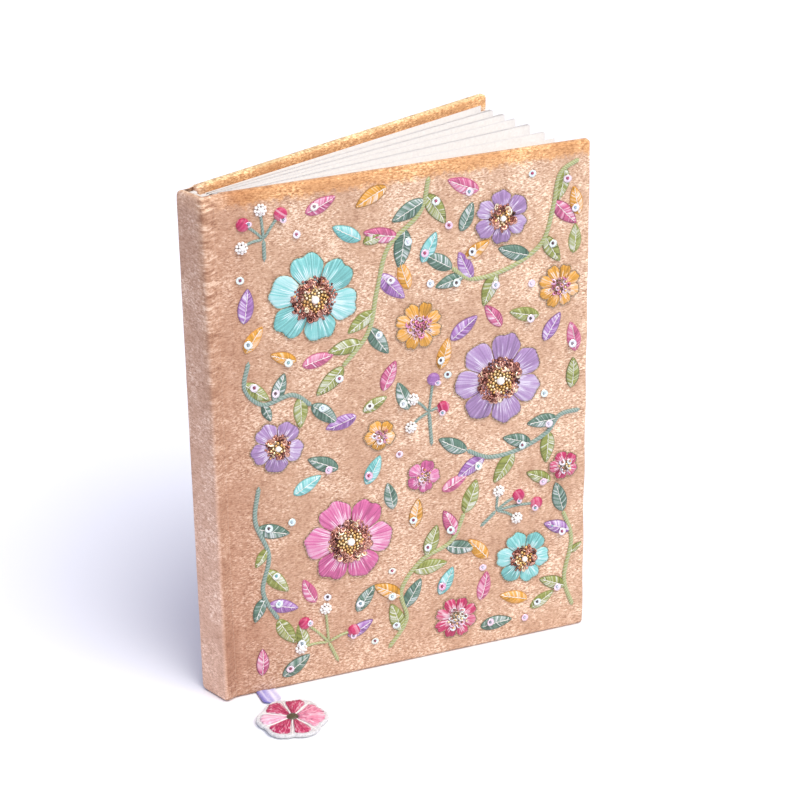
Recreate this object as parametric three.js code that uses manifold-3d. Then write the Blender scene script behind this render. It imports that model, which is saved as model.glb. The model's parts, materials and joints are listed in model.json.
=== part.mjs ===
// A case-bound A5 notebook in velvet, standing on its tail with the front cover ajar.
//
// Millimetres, +Z up. The origin is on the table under the middle of the spine. The back cover
// and the text block run along +X, the fore-edge is at high X, and the front cover opens
// towards -Y. Every piece is modelled where it lies in the closed book and then turned about
// its own fold line, so one set of sizes gives both the closed stack and the fan of leaves.
import * as THREE from 'three';
import { mergeVertices } from 'three/addons/utils/BufferGeometryUtils.js';
import Module from 'manifold-3d';

const wasm = await Module();
wasm.setup();

// Case
const caseHeight = 216;
const caseWidth = 159.5;
const velvet = 1.1; // cloth and pile
const board = 2.6;
const spineBoard = 2.2;
const turnIn = 0.45; // pressed cloth under the endpaper
const turnInWidth = 15;
const fit = 0.05; // between glued layers
const edgeRound = 1; // soft edge of the covered boards
const cornerRadius = 2;

// Text block
const leafHeight = 210;
const leafWidth = 149;
const leaf = 0.075;
const leafGap = 0.02;
const leavesPerSection = 8;
const sectionGap = 0.05;
const endpaper = 0.15;
const ribbonRoom = 0.6; // left for the ribbon between the front cover and the first leaf
const backRoom = 0.25;
const lining = 0.3;
const mullThickness = 0.25;
const hollow = 0.4; // between the spine board and the lined backs

// Joints
const boardStart = 7.6; // spine-side edge of both cover boards
const trayStart = 7.3;
const foldAtSpine = 3.6;
const foldAtBoard = 7;
const foldProud = 0.15; // fold lines stand this far outside the covers' outer faces
const jointCloth = 1;
const gutterDepth = 5.9; // glued and sewn part of the leaves
const gutterClear = 0.3;
const rootLength = 4; // where the leaves of a section still lie together
const liningInset = 4; // from the ends of the backs
const mullInset = 20;

// How the book stands
const coverAjar = 21.5;
const flyleafAjar = 17.7;
const backFlyleafAjar = 0.6;
// Each group of leaves: how far it stands open, and how many sections it holds.
const leafGroups = [
  { ajar: 14.6, sections: 1 },
  { ajar: 10.7, sections: 2 },
  { ajar: 7.6, sections: 1 },
  { ajar: 5.2, sections: 2 },
  { ajar: 2.9, sections: 2 },
];

// Ribbon and charm
const ribbonWidth = 8;
const ribbonThickness = 0.3;
const ribbonX = 17.7; // where it passes under the front cover
const ribbonHeadX = 14.6;
const ribbonLift = 0.05;
const ribbonReach = 10.6; // in front of the cover
const channelSide = 0.5; // pressed nap beside the ribbon
const channelDepth = 0.7;
const charmX = 20.2;
const charmReach = 25.4; // from the front cover's face to the charm's centre
const charmRadius = 14.5;
const feltThickness = 1.8;
const petalRise = 1.1;
const petalLength = 8.6;
const petalWidth = 6.6;
const petalAt = 7.9; // from the knot's middle to the petal's
const charmTurn = -15; // degrees, where the first petal points

// Embroidery on the front cover. It is drawn on a field of its own, measured from the cover's
// spine side and tail, and is stretched both ways to the size of the cover.
const fieldWidth = 152.2;
const fieldHeight = 216;
const stitchEdge = 0.3; // height of the satin stitch at the rim of a petal
const stitchRise = 1; // and at the crown of a petal or a leaf
const centreRise = 2.1; // beaded centre of a flower
const centreShare = 0.4; // of the flower's radius
const notchShare = 0.7; // rim between two petals
const stemWidth = 1.8;
const stemRise = 0.8;
const leafShare = 0.42; // width of a leaf from its length
const leafLean = 48; // degrees from the stem
const berryRadius = 2.6;
const berryRise = 1.8;

const THREAD = {
  aqua: 0x7fd6cf,
  lilac: 0xa98ad0,
  pink: 0xd9719f,
  gold: 0xe0a040,
  crimson: 0xc0365e,
  olive: 0x8e9a46,
  sage: 0x5d8270,
};

const flowers = [
  { name: 'large_aqua_flower', at: [36, 169], radius: 19.5, petals: 6, turn: 10, thread: 'aqua' },
  { name: 'large_lilac_flower', at: [113, 121], radius: 20.5, petals: 7, turn: 0, thread: 'lilac' },
  { name: 'large_pink_flower', at: [48, 62], radius: 20, petals: 6, turn: 25, thread: 'pink' },
  { name: 'head_lilac_flower', at: [114, 190], radius: 12, petals: 6, turn: 0, thread: 'lilac' },
  { name: 'side_lilac_flower', at: [19, 109], radius: 11.5, petals: 5, turn: 15, thread: 'lilac' },
  { name: 'tail_aqua_flower', at: [124, 38], radius: 12.5, petals: 6, turn: 20, thread: 'aqua' },
  { name: 'middle_gold_flower', at: [79, 150], radius: 10.5, petals: 8, turn: 0, thread: 'gold' },
  { name: 'tail_crimson_flower', at: [94, 16], radius: 10, petals: 8, turn: 0, thread: 'crimson' },
  { name: 'edge_gold_flower', at: [139, 157], radius: 9.5, petals: 8, turn: 0, thread: 'gold' },
  { name: 'tiny_gold_flower', at: [62, 106], radius: 6.8, petals: 5, turn: 10, thread: 'gold' },
  { name: 'tiny_crimson_flower', at: [142, 77], radius: 6.8, petals: 5, turn: 0, thread: 'crimson' },
  { name: 'tiny_pink_flower', at: [80, 84], radius: 7.5, petals: 5, turn: 30, thread: 'pink' },
];

// The leaves of a sprig: how far along the stem, on which side of it, and how long. A leaf on
// neither side ends the stem.
const sprigs = [
  {
    thread: 'olive',
    stem: [[84, 211], [80, 197], [67, 185], [62, 168], [58, 151], [47, 138]],
    leaves: [
      [0.1, 1, 15], [0.13, -1, 15], [0.3, 1, 16], [0.34, -1, 14], [0.53, 1, 15],
      [0.7, -1, 13], [0.78, 1, 14], [0.86, -1, 14], [1, 0, 15],
    ],
  },
  {
    thread: 'olive',
    stem: [[147, 209], [139, 204], [136, 190], [131, 176], [117, 168], [102, 166], [93, 172]],
    leaves: [
      [0.12, 1, 13], [0.3, 1, 14], [0.46, 1, 13], [0.57, -1, 14], [0.72, 1, 14],
      [0.84, -1, 13], [0.9, 1, 12], [1, 0, 14],
    ],
  },
  {
    thread: 'sage',
    stem: [[149, 101], [140, 100], [134, 93], [122, 88], [109, 87], [99, 92]],
    leaves: [
      [0.24, -1, 13], [0.38, 1, 14], [0.52, -1, 13], [0.64, 1, 15], [0.84, 1, 14], [1, 0, 14],
    ],
  },
  {
    thread: 'sage',
    stem: [[11, 93], [9, 78], [14, 62], [11, 46], [17, 32]],
    leaves: [
      [0.3, 1, 14], [0.45, -1, 9], [0.6, 1, 14], [0.8, -1, 11], [0.86, 1, 13], [1, 0, 14],
    ],
  },
  {
    thread: 'olive',
    stem: [[64, 8], [72, 20], [70, 34], [79, 46], [92, 52], [98, 64]],
    leaves: [
      [0.12, 1, 14], [0.28, -1, 14], [0.36, 1, 14], [0.53, -1, 15], [0.64, 1, 14],
      [0.76, -1, 14], [0.85, 1, 13], [1, 0, 15],
    ],
  },
  {
    thread: 'olive',
    stem: [[147, 10], [143, 24], [146, 42], [142, 56]],
    leaves: [[0.25, 1, 13], [0.55, -1, 8], [0.76, 1, 13], [1, 0, 14]],
  },
  {
    thread: 'sage',
    stem: [[9, 147], [7, 136], [14, 128], [26, 130], [34, 124]],
    leaves: [[0.2, 1, 13], [0.5, -1, 8], [0.6, 1, 12], [0.84, -1, 13], [1, 0, 14]],
  },
];

// The stalks of a berry sprig all start from the second point of its stem.
const berrySprigs = [
  {
    thread: 'sage',
    stem: [[17, 187], [17, 196]],
    berries: [[9, 203], [16, 208], [24, 205], [8, 194]],
  },
  {
    thread: 'sage',
    stem: [[84, 97], [83, 112]],
    berries: [[76, 119], [85, 126], [89, 113], [75, 107]],
  },
  {
    thread: 'olive',
    stem: [[42, 7], [38, 17]],
    berries: [[28, 28], [37, 33], [26, 17], [49, 20]],
  },
  {
    thread: 'sage',
    stem: [[105, 56], [112, 62]],
    berries: [[121, 57], [122, 67], [113, 71], [130, 62]],
  },
];

// Worked out from the sizes above
const insideFace = velvet + 2 * fit + board + turnIn; // turn-ins' face, from the outer face
const coverThickness = insideFace + fit + endpaper;
const section = leavesPerSection * (leaf + leafGap) - leafGap;
const pitch = section + sectionGap;
const sectionCount = leafGroups.reduce((sum, g) => sum + g.sections, 0);
const blockRoom = ribbonRoom + 2 * (endpaper + sectionGap) + sectionCount * pitch + backRoom;
const closed = 2 * coverThickness + blockRoom; // thickness of the closed book
const half = closed / 2;
const spinePanel = velvet + fit + spineBoard;
const liningX = spinePanel + hollow;
const mullX = liningX + lining + fit;
const backsX = mullX + mullThickness + fit;
const gutter = backsX + gutterDepth;
const foreEdge = backsX + leafWidth;
const square = (caseHeight - leafHeight) / 2;
const firstLeafY = -half + coverThickness + ribbonRoom;
const firstSectionY = firstLeafY + endpaper + sectionGap;
const lastSectionY = firstSectionY + sectionCount * pitch - sectionGap;
const scaleAcross = (caseWidth - trayStart) / fieldWidth;
const scaleUp = caseHeight / fieldHeight;

const FRONT = -1;
const BACK = 1;

function solidOf(geometry) {
  const bare = geometry.clone();
  bare.deleteAttribute('normal');
  bare.deleteAttribute('uv');
  const merged = mergeVertices(bare, 1e-4);
  return new wasm.Manifold(new wasm.Mesh({
    numProp: 3,
    vertProperties: new Float32Array(merged.attributes.position.array),
    triVerts: new Uint32Array(merged.index.array),
  }));
}

function geometryOf(solid) {
  const mesh = solid.getMesh();
  const geometry = new THREE.BufferGeometry();
  geometry.setAttribute('position', new THREE.BufferAttribute(mesh.vertProperties, 3));
  geometry.setIndex(new THREE.BufferAttribute(mesh.triVerts, 1));
  geometry.computeVertexNormals();
  return geometry;
}

function box(x0, x1, y0, y1, z0, z1) {
  const geometry = new THREE.BoxGeometry(x1 - x0, y1 - y0, z1 - z0);
  return geometry.translate((x0 + x1) / 2, (y0 + y1) / 2, (z0 + z1) / 2);
}

// The range of Y between two depths below a cover's outer face.
function layer(side, from, to) {
  const a = side * (half - from);
  const b = side * (half - to);
  return [Math.min(a, b), Math.max(a, b)];
}

function roundedOutline(x0, x1, z0, z1, r) {
  const outline = new THREE.Shape();
  outline.moveTo(x0 + r, z0);
  outline.lineTo(x1 - r, z0);
  outline.absarc(x1 - r, z0 + r, r, -Math.PI / 2, 0);
  outline.lineTo(x1, z1 - r);
  outline.absarc(x1 - r, z1 - r, r, 0, Math.PI / 2);
  outline.lineTo(x0 + r, z1);
  outline.absarc(x0 + r, z1 - r, r, Math.PI / 2, Math.PI);
  outline.lineTo(x0, z0 + r);
  outline.absarc(x0 + r, z0 + r, r, Math.PI, 1.5 * Math.PI);
  return outline;
}

// An outline in X and Z, given thickness along Y from y0 to y1 with rounded edges.
function slab(outline, y0, y1, round, steps = 3) {
  const geometry = new THREE.ExtrudeGeometry(outline, {
    depth: y1 - y0 - 2 * round,
    bevelEnabled: round > 0,
    bevelThickness: round,
    bevelSize: round,
    bevelOffset: -round,
    bevelSegments: steps,
    curveSegments: 3,
  });
  return geometry.rotateX(Math.PI / 2).translate(0, y1 - round, 0);
}

// An outline in X and Y, standing from z0 to z1.
function upright(outline, z0, z1, curveSegments = 6) {
  const geometry = new THREE.ExtrudeGeometry(outline, {
    depth: z1 - z0, bevelEnabled: false, curveSegments,
  });
  return geometry.translate(0, 0, z0);
}

function shape(points) {
  return new THREE.Shape(points.map(([x, y]) => new THREE.Vector2(x, y)));
}

// Closed rings of points, joined one after another into one body with flat ends. Seen from
// ahead, each ring runs anticlockwise.
function loft(rings) {
  const count = rings[0].length;
  const index = [];
  for (let i = 0; i + 1 < rings.length; i += 1) {
    for (let j = 0; j < count; j += 1) {
      const a = i * count + j;
      const b = i * count + (j + 1) % count;
      index.push(a, b, a + count, b, b + count, a + count);
    }
  }
  const last = (rings.length - 1) * count;
  for (let j = 1; j + 1 < count; j += 1) {
    index.push(0, j + 1, j, last, last + j, last + j + 1);
  }
  return indexed(rings.flat(2), index);
}

function indexed(positions, index) {
  const geometry = new THREE.BufferGeometry();
  geometry.setAttribute('position', new THREE.Float32BufferAttribute(positions, 3));
  geometry.setIndex(index);
  geometry.computeVertexNormals();
  return geometry;
}

function piece(name, geometry, color, roughness) {
  const material = new THREE.MeshStandardMaterial({ color, roughness, metalness: 0 });
  const mesh = new THREE.Mesh(geometry, material);
  mesh.name = name;
  return mesh;
}

// Pieces that turn together about the vertical line at x, y. They are given where they lie in
// the closed book, and stand open by this many degrees towards -Y.
function turned(name, x, y, ajar, pieces) {
  const pivot = new THREE.Group();
  pivot.name = name;
  pivot.position.set(x, y, 0);
  pivot.rotation.z = THREE.MathUtils.degToRad(-ajar);
  const inner = new THREE.Group();
  inner.position.set(-x, -y, 0);
  inner.add(...pieces);
  pivot.add(inner);
  return pivot;
}

const VELVET = 0xc98f78;
const PAPER = 0xf3efe6;
const BOARD = 0x8f8778;
const RIBBON = 0x8f93d6;

// Velvet drawn over a cover board and turned in at head, tail and fore-edge. The spine side
// is open, because there the cloth runs on into the joint.
function coverVelvet(side) {
  const outline = roundedOutline(trayStart, caseWidth, 0, caseHeight, cornerRadius);
  let tray = solidOf(slab(outline, ...layer(side, 0, insideFace), edgeRound));
  const boardRoom = box(
    trayStart - 1, caseWidth - velvet,
    ...layer(side, velvet, insideFace - turnIn),
    velvet, caseHeight - velvet,
  );
  const window = box(
    trayStart - 1, caseWidth - turnInWidth,
    ...layer(side, insideFace - turnIn - 0.1, insideFace + 1),
    turnInWidth, caseHeight - turnInWidth,
  );
  tray = tray.subtract(solidOf(boardRoom)).subtract(solidOf(window));
  if (side === FRONT) {
    const reach = ribbonWidth / 2 + channelSide;
    const channel = box(
      ribbonX - reach, ribbonX + reach,
      ...layer(side, -1, insideFace + 1),
      -1, channelDepth,
    );
    tray = tray.subtract(solidOf(channel));
  }
  return geometryOf(tray);
}

function cover(side, name) {
  const boardEdge = velvet + fit;
  const boardOutline = roundedOutline(
    boardStart, caseWidth - boardEdge, boardEdge, caseHeight - boardEdge, 1,
  );
  const infillEdge = turnInWidth + 0.3;
  const paperEdge = square + 0.8;
  return [
    piece(`${name}_velvet`, coverVelvet(side), VELVET, 0.9),
    piece(
      `${name}_board`,
      slab(boardOutline, ...layer(side, boardEdge, boardEdge + board), 0.3, 1),
      BOARD, 0.95,
    ),
    piece(
      `${name}_infill`,
      box(
        boardStart, caseWidth - infillEdge,
        ...layer(side, insideFace - turnIn, insideFace),
        infillEdge, caseHeight - infillEdge,
      ),
      BOARD, 0.95,
    ),
    piece(
      `${name}_pastedown`,
      box(
        boardStart + 0.4, caseWidth - paperEdge,
        ...layer(side, insideFace + fit, coverThickness),
        paperEdge, caseHeight - paperEdge,
      ),
      PAPER, 0.85,
    ),
  ];
}

// The cloth that dips between the spine and a cover board, over the whole height.
function jointStrip(side, start, end) {
  const steps = 8;
  const shoulder = 0.4;
  const dip = 1.2;
  const outer = [];
  const inner = [];
  for (let i = 0; i <= steps; i += 1) {
    const x = start + (end - start) * i / steps;
    const depth = shoulder + dip * Math.sin(Math.PI * i / steps);
    outer.push([x, side * (half - depth)]);
    inner.push([x, side * (half - depth - jointCloth)]);
  }
  return upright(shape([...outer, ...inner.reverse()]), 0, caseHeight);
}

// Velvet round the spine board: rounded shoulders, and turned in at head and tail.
function spineVelvet() {
  const round = 1.6;
  const outline = new THREE.Shape();
  outline.moveTo(round, -half);
  outline.lineTo(spinePanel - 0.3, -half);
  outline.lineTo(spinePanel, -half + 0.3);
  outline.lineTo(spinePanel, half - 0.3);
  outline.lineTo(spinePanel - 0.3, half);
  outline.lineTo(round, half);
  outline.absarc(round, half - round, round, Math.PI / 2, Math.PI);
  outline.lineTo(0, -half + round);
  outline.absarc(round, -half + round, round, Math.PI, 1.5 * Math.PI);
  const sheath = solidOf(upright(outline, 0, caseHeight, 5));
  const boardRoom = box(
    velvet, spinePanel + 1, -half + velvet, half - velvet, velvet, caseHeight - velvet,
  );
  return geometryOf(sheath.subtract(solidOf(boardRoom)));
}

// The backs of the sections, folded, sewn and glued into one stiff strip.
function sewnBacks() {
  const r = section / 2;
  const outline = new THREE.Shape();
  outline.moveTo(gutter - gutterClear, firstSectionY);
  outline.lineTo(gutter - gutterClear, lastSectionY);
  for (let i = sectionCount - 1; i >= 0; i -= 1) {
    const middle = firstSectionY + i * pitch + r;
    outline.absarc(backsX + r, middle, r, Math.PI / 2, 1.5 * Math.PI);
  }
  return upright(outline, square, caseHeight - square, 6);
}

// One section of folded sheets in plan: its leaves part a few millimetres out from the
// gutter, and there they narrow to a thin root that can turn past its neighbours.
function sectionOutline(groupMiddle, middle) {
  const rootStart = gutter + gutterClear;
  const rootEnd = gutter + rootLength;
  const pinch = 0.35;
  const rootHalf = 0.08;
  const rootMiddle = groupMiddle + (middle - groupMiddle) * pinch;
  const points = [[rootStart, rootMiddle - rootHalf], [rootEnd, middle - section / 2]];
  for (let i = 0; i < leavesPerSection; i += 1) {
    const y = middle - section / 2 + i * (leaf + leafGap);
    points.push([foreEdge, y], [foreEdge, y + leaf]);
    if (i < leavesPerSection - 1) {
      points.push([rootEnd, y + leaf], [rootEnd, y + leaf + leafGap]);
    }
  }
  points.push([rootEnd, middle + section / 2], [rootStart, rootMiddle + rootHalf]);
  return shape(points);
}

function leaves() {
  const groups = [];
  let number = 0;
  leafGroups.forEach(({ ajar, sections }, i) => {
    const start = firstSectionY + number * pitch;
    const groupMiddle = start + (sections * pitch - sectionGap) / 2;
    const pieces = [];
    for (let k = 0; k < sections; k += 1) {
      const middle = start + k * pitch + section / 2;
      const outline = sectionOutline(groupMiddle, middle);
      number += 1;
      pieces.push(piece(
        `section_${number}`, upright(outline, square, caseHeight - square), PAPER, 0.85,
      ));
    }
    groups.push(turned(`leaves_${i + 1}`, gutter, groupMiddle, ajar, pieces));
  });
  return groups;
}

function flyleaf(name, y, ajar) {
  const sheet = box(
    gutter + gutterClear, foreEdge, y, y + endpaper, square, caseHeight - square,
  );
  return turned(name, gutter, y + endpaper / 2, ajar, [piece(name, sheet, PAPER, 0.85)]);
}

// A rolled band on the end of the backs.
function endBand(name, z, up) {
  const bead = 0.8;
  const outline = new THREE.Shape();
  outline.moveTo(backsX, 0);
  outline.lineTo(backsX + 2 * bead, 0);
  outline.lineTo(backsX + 2 * bead, up * bead);
  outline.absarc(backsX + bead, up * bead, bead, 0, up * Math.PI, up < 0);
  const geometry = new THREE.ExtrudeGeometry(outline, {
    depth: lastSectionY - firstSectionY, bevelEnabled: false, curveSegments: 6,
  });
  geometry.rotateX(Math.PI / 2).translate(0, lastSectionY, z + up * fit);
  return piece(name, geometry, 0xe8e0d0, 0.8);
}

// The ribbon lies on the inside of the front cover, turns under its tail edge and comes out
// in front. Higher up it leans towards the spine, and its end is drawn in where the charm is
// tied on.
function ribbon() {
  const inside = -half + coverThickness + 0.1 + ribbonThickness / 2;
  const outside = -half - ribbonReach;
  const floor = ribbonLift + ribbonThickness / 2;
  const bend = 1.2;
  const top = caseHeight - square - 1.5;
  const leanFrom = 60;
  const leanSteps = 6;
  const endLength = 4; // drawn in where it is stitched to the charm
  const endShare = 0.7;
  // Each stop of its way: where its middle lies, and its share of the whole width.
  const stops = [];
  for (let i = 0; i <= leanSteps; i += 1) {
    const lean = 1 - i / leanSteps;
    const x = ribbonX + (ribbonHeadX - ribbonX) * lean;
    stops.push([x, inside, leanFrom + (top - leanFrom) * lean, 1]);
  }
  for (let i = 0; i <= 4; i += 1) {
    const a = Math.PI / 2 * i / 4;
    const y = inside - bend + bend * Math.cos(a);
    stops.push([ribbonX, y, floor + bend - bend * Math.sin(a), 1]);
  }
  stops.push([ribbonX, outside + endLength, floor, 1]);
  stops.push([ribbonX, outside, floor, 1 - endShare]);
  const rings = stops.map(([x, y, z, share], i) => {
    const before = stops[Math.max(i - 1, 0)];
    const after = stops[Math.min(i + 1, stops.length - 1)];
    const length = Math.hypot(after[1] - before[1], after[2] - before[2]);
    const ny = -(after[2] - before[2]) / length * ribbonThickness / 2;
    const nz = (after[1] - before[1]) / length * ribbonThickness / 2;
    const reach = ribbonWidth / 2 * share;
    return [
      [x - reach, y - ny, z - nz], [x - reach, y + ny, z + nz],
      [x + reach, y + ny, z + nz], [x + reach, y - ny, z - nz],
    ];
  });
  return piece('ribbon', loft(rings), RIBBON, 0.4);
}

// Where the ribbon is glued on the head of the backs.
function ribbonHead() {
  const z = caseHeight - square + 0.1;
  const bandClear = 1.8;
  const edge = 0.3;
  const glued = 2.4;
  const y = firstSectionY + edge;
  return piece(
    'ribbon_head',
    box(backsX + bandClear, gutter - 2 * edge, y, y + glued, z, z + ribbonThickness),
    RIBBON, 0.4,
  );
}

// Raised stitches, drawn on the flat field and laid on the cover's outer face.
function stitched(name, geometry, thread) {
  geometry.scale(scaleAcross, scaleUp, 1).rotateX(Math.PI / 2);
  geometry.translate(trayStart, -half - fit, 0);
  return piece(name, geometry, THREAD[thread], 0.5);
}

// A flower in satin stitch: crowned petals round a domed centre of beads, on a flat base. It
// is a height over rings about the middle, each ring going from the round centre to the rim.
function stitchedFlower({ name, at: [u, v], radius, petals, turn, thread }) {
  const large = radius > 15;
  const steps = petals * (large ? 6 : 4);
  const centreRings = large ? 2 : 1;
  const petalRings = large ? 4 : 3;
  const rings = [];
  for (let i = 1; i <= centreRings; i += 1) {
    const share = i / centreRings;
    const height = centreRise - (centreRise - stitchRise) * share ** 2;
    rings.push(() => [radius * centreShare * share, height]);
  }
  for (let i = 1; i <= petalRings; i += 1) {
    const share = i / petalRings;
    rings.push((bulge) => {
      const rim = radius * (notchShare + (1 - notchShare) * bulge ** 0.6);
      const crown = stitchEdge + (stitchRise - stitchEdge) * Math.cos(Math.PI / 2 * share ** 2);
      const reach = radius * centreShare + (rim - radius * centreShare) * share;
      return [reach, stitchEdge + (crown - stitchEdge) * (0.45 + 0.55 * bulge)];
    });
  }
  const positions = [u, v, centreRise];
  rings.forEach((ring) => {
    for (let j = 0; j < steps; j += 1) {
      const a = 2 * Math.PI * j / steps;
      const [r, height] = ring(Math.abs(Math.sin(petals * a / 2)));
      const b = a + THREE.MathUtils.degToRad(turn);
      positions.push(u + r * Math.cos(b), v + r * Math.sin(b), height);
    }
  });
  const rim = positions.slice(-3 * steps);
  for (let j = 0; j < steps; j += 1) positions.push(rim[3 * j], rim[3 * j + 1], 0);
  positions.push(u, v, 0);
  const under = 1 + (rings.length + 1) * steps;
  const index = [];
  for (let j = 0; j < steps; j += 1) {
    const next = (j + 1) % steps;
    index.push(0, 1 + j, 1 + next);
    for (let i = 0; i < rings.length; i += 1) {
      const a = 1 + i * steps;
      index.push(a + j, a + steps + j, a + steps + next, a + j, a + steps + next, a + next);
    }
    index.push(under, under - steps + next, under - steps + j);
  }
  return stitched(name, indexed(positions, index), thread);
}

// A band of stitches along a line on the field. Each station has a point, half its width
// there and its height, and the section is the given outline of shares across and up.
function band(stations, outline) {
  const rings = stations.map(({ u, v, reach, height }, i) => {
    const a = stations[Math.max(i - 1, 0)];
    const b = stations[Math.min(i + 1, stations.length - 1)];
    const length = Math.hypot(b.u - a.u, b.v - a.v);
    const [across, up] = [-(b.v - a.v) / length, (b.u - a.u) / length];
    return outline.map(([s, h]) => [u + across * s * reach, v + up * s * reach, h * height]);
  });
  return solidOf(loft(rings));
}

const stemOutline = [[1, 0], [0.55, 1], [-0.55, 1], [-1, 0]];
const leafOutline = [[1, 0], [0, 1], [-1, 0]];

function stemSolid(points, steps) {
  const curve = new THREE.CatmullRomCurve3(
    points.map(([u, v]) => new THREE.Vector3(u, v, 0)), false, 'catmullrom', 0.5,
  );
  const stations = curve.getPoints(steps).map(({ x, y }) => (
    { u: x, v: y, reach: stemWidth / 2, height: stemRise }
  ));
  return { curve, solid: band(stations, stemOutline) };
}

// A pointed leaf, ridged along its middle, that starts inside the stem.
function leafSolid(curve, share, side, length) {
  const start = curve.getPoint(share);
  const along = curve.getTangent(share);
  const angle = Math.atan2(along.y, along.x) + side * THREE.MathUtils.degToRad(leafLean);
  const widths = [[0, 0.3], [0.25, 0.85], [0.5, 1], [0.75, 0.7], [1, 0.06]];
  const stations = widths.map(([s, width]) => ({
    u: start.x + length * s * Math.cos(angle),
    v: start.y + length * s * Math.sin(angle),
    reach: width * length * leafShare / 2,
    height: stitchRise * (0.6 + 0.4 * width),
  }));
  return band(stations, leafOutline);
}

function sprig({ thread, stem, leaves: list }, i) {
  const { curve, solid } = stemSolid(stem, 3 * (stem.length - 1));
  const whole = list.reduce((sum, leafAt) => sum.add(leafSolid(curve, ...leafAt)), solid);
  return stitched(`sprig_${i + 1}`, geometryOf(whole), thread);
}

function berrySprig({ thread, stem, berries }, i) {
  const fork = stem[1];
  const whole = berries.reduce((sum, [u, v]) => {
    const stalk = stemSolid([fork, [(fork[0] + u) / 2, (fork[1] + v) / 2 + 0.6], [u, v]], 3);
    const berry = dome(berryRadius, berryRise, 10, 3).translate(u, v, 0);
    return sum.add(stalk.solid).add(solidOf(berry));
  }, stemSolid(stem, 2).solid);
  return stitched(`berry_sprig_${i + 1}`, geometryOf(whole), thread);
}

function flower(petals, radius, depth) {
  const outline = new THREE.Shape();
  const steps = petals * 6;
  for (let i = 0; i < steps; i += 1) {
    const a = 2 * Math.PI * i / steps;
    const r = radius - depth * (1 - Math.abs(Math.sin(petals * a / 2)));
    const [x, y] = [r * Math.cos(a), r * Math.sin(a)];
    if (i === 0) outline.moveTo(x, y);
    else outline.lineTo(x, y);
  }
  return outline;
}

// A felt flower with six stitched petals and a knot, lying flat on the table.
function charm() {
  const y = -half - charmReach;
  const felt = new THREE.ExtrudeGeometry(flower(6, charmRadius, 1.6), {
    depth: feltThickness, bevelEnabled: false,
  });
  const firstTurn = THREE.MathUtils.degToRad(charmTurn);
  felt.rotateZ(firstTurn - Math.PI / 6).translate(charmX, y, 0);
  const pieces = [piece('charm_felt', felt, 0xf2efe9, 0.95)];
  const petalColours = [0xd8527f, 0xa81c4a, 0x9c1b45, 0xe6a8bd, 0xa81c4a, 0x9c1b45];
  petalColours.forEach((colour, i) => {
    const turn = firstTurn + i * Math.PI / 3;
    const outline = new THREE.Shape();
    outline.absellipse(0, 0, petalLength / 2, petalWidth / 2, 0, 2 * Math.PI, false, 0);
    const petal = new THREE.ExtrudeGeometry(outline, {
      depth: petalRise - 0.5,
      bevelThickness: 0.5,
      bevelSize: 0.5,
      bevelOffset: -0.5,
      bevelSegments: 2,
      curveSegments: 12,
    });
    petal.translate(petalAt, 0, feltThickness + fit + 0.5).rotateZ(turn);
    petal.translate(charmX, y, 0);
    pieces.push(piece(`charm_petal_${i + 1}`, petal, colour, 0.7));
  });
  const knot = piece('charm_knot', dome(2.6, 1.6), 0x4a4326, 0.8);
  knot.geometry.translate(charmX, y, feltThickness + fit);
  pieces.push(knot);
  return turned('charm', ribbonX, -half - ribbonReach, 0, pieces);
}

// A closed dome with a flat base at z = 0.
function dome(radius, height, sides = 16, steps = 5) {
  const profile = [new THREE.Vector2(0, 0)];
  for (let i = 0; i <= steps; i += 1) {
    const a = Math.PI / 2 * i / steps;
    profile.push(new THREE.Vector2(radius * Math.cos(a), height * Math.sin(a)));
  }
  profile[profile.length - 1].x = 0;
  return new THREE.LatheGeometry(profile, sides).rotateX(Math.PI / 2);
}

const notebook = new THREE.Group();
notebook.name = 'notebook';
notebook.position.x = -spinePanel / 2;

notebook.add(
  piece('spine_velvet', spineVelvet(), VELVET, 0.9),
  piece(
    'spine_board',
    box(
      velvet + fit, spinePanel,
      -half + velvet + fit, half - velvet - fit,
      velvet + fit, caseHeight - velvet - fit,
    ),
    BOARD, 0.95,
  ),
  piece('back_joint_cloth', jointStrip(BACK, spinePanel + 0.1, trayStart - 0.1), VELVET, 0.9),
  piece(
    'spine_lining',
    box(
      liningX, liningX + lining, firstSectionY, lastSectionY,
      square + liningInset, caseHeight - square - liningInset,
    ),
    0xb9a583, 0.9,
  ),
  piece(
    'mull',
    box(
      mullX, mullX + mullThickness, firstSectionY, lastSectionY,
      square + mullInset, caseHeight - square - mullInset,
    ),
    0xe4dcc8, 0.95,
  ),
  piece('sewn_backs', sewnBacks(), PAPER, 0.85),
  endBand('headband', caseHeight - square, 1),
  endBand('tailband', square, -1),
  ribbonHead(),
  ...leaves(),
  flyleaf('front_flyleaf', firstLeafY, flyleafAjar),
  flyleaf('back_flyleaf', half - coverThickness - backRoom - endpaper, backFlyleafAjar),
  turned('back_cover', foldAtBoard, half + foldProud, 0, cover(BACK, 'back')),
);

const frontCover = turned('front_cover', foldAtBoard, -half - foldProud, coverAjar, [
  ...cover(FRONT, 'front'),
  ...flowers.map(stitchedFlower),
  ...sprigs.map(sprig),
  ...berrySprigs.map(berrySprig),
  ribbon(),
  charm(),
]);
const jointPiece = piece(
  'front_joint_cloth', jointStrip(FRONT, foldAtSpine + 0.15, foldAtBoard - 0.15), VELVET, 0.9,
);
notebook.add(
  turned('front_joint', foldAtSpine, -half - foldProud, 0, [jointPiece, frontCover]),
);

export default notebook;
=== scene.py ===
# %% [markdown]
# # A velvet notebook, standing ajar
#
# The notebook stands on its tail with the front cover a little open. The boards, folds and
# leaves come ready made, as a frame. This lesson dresses them: crushed velvet, fanned paper,
# raised embroidery with beads and sequins, and a ribbon with a felt flower.

# %% Load the frame
import json
import math

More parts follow.
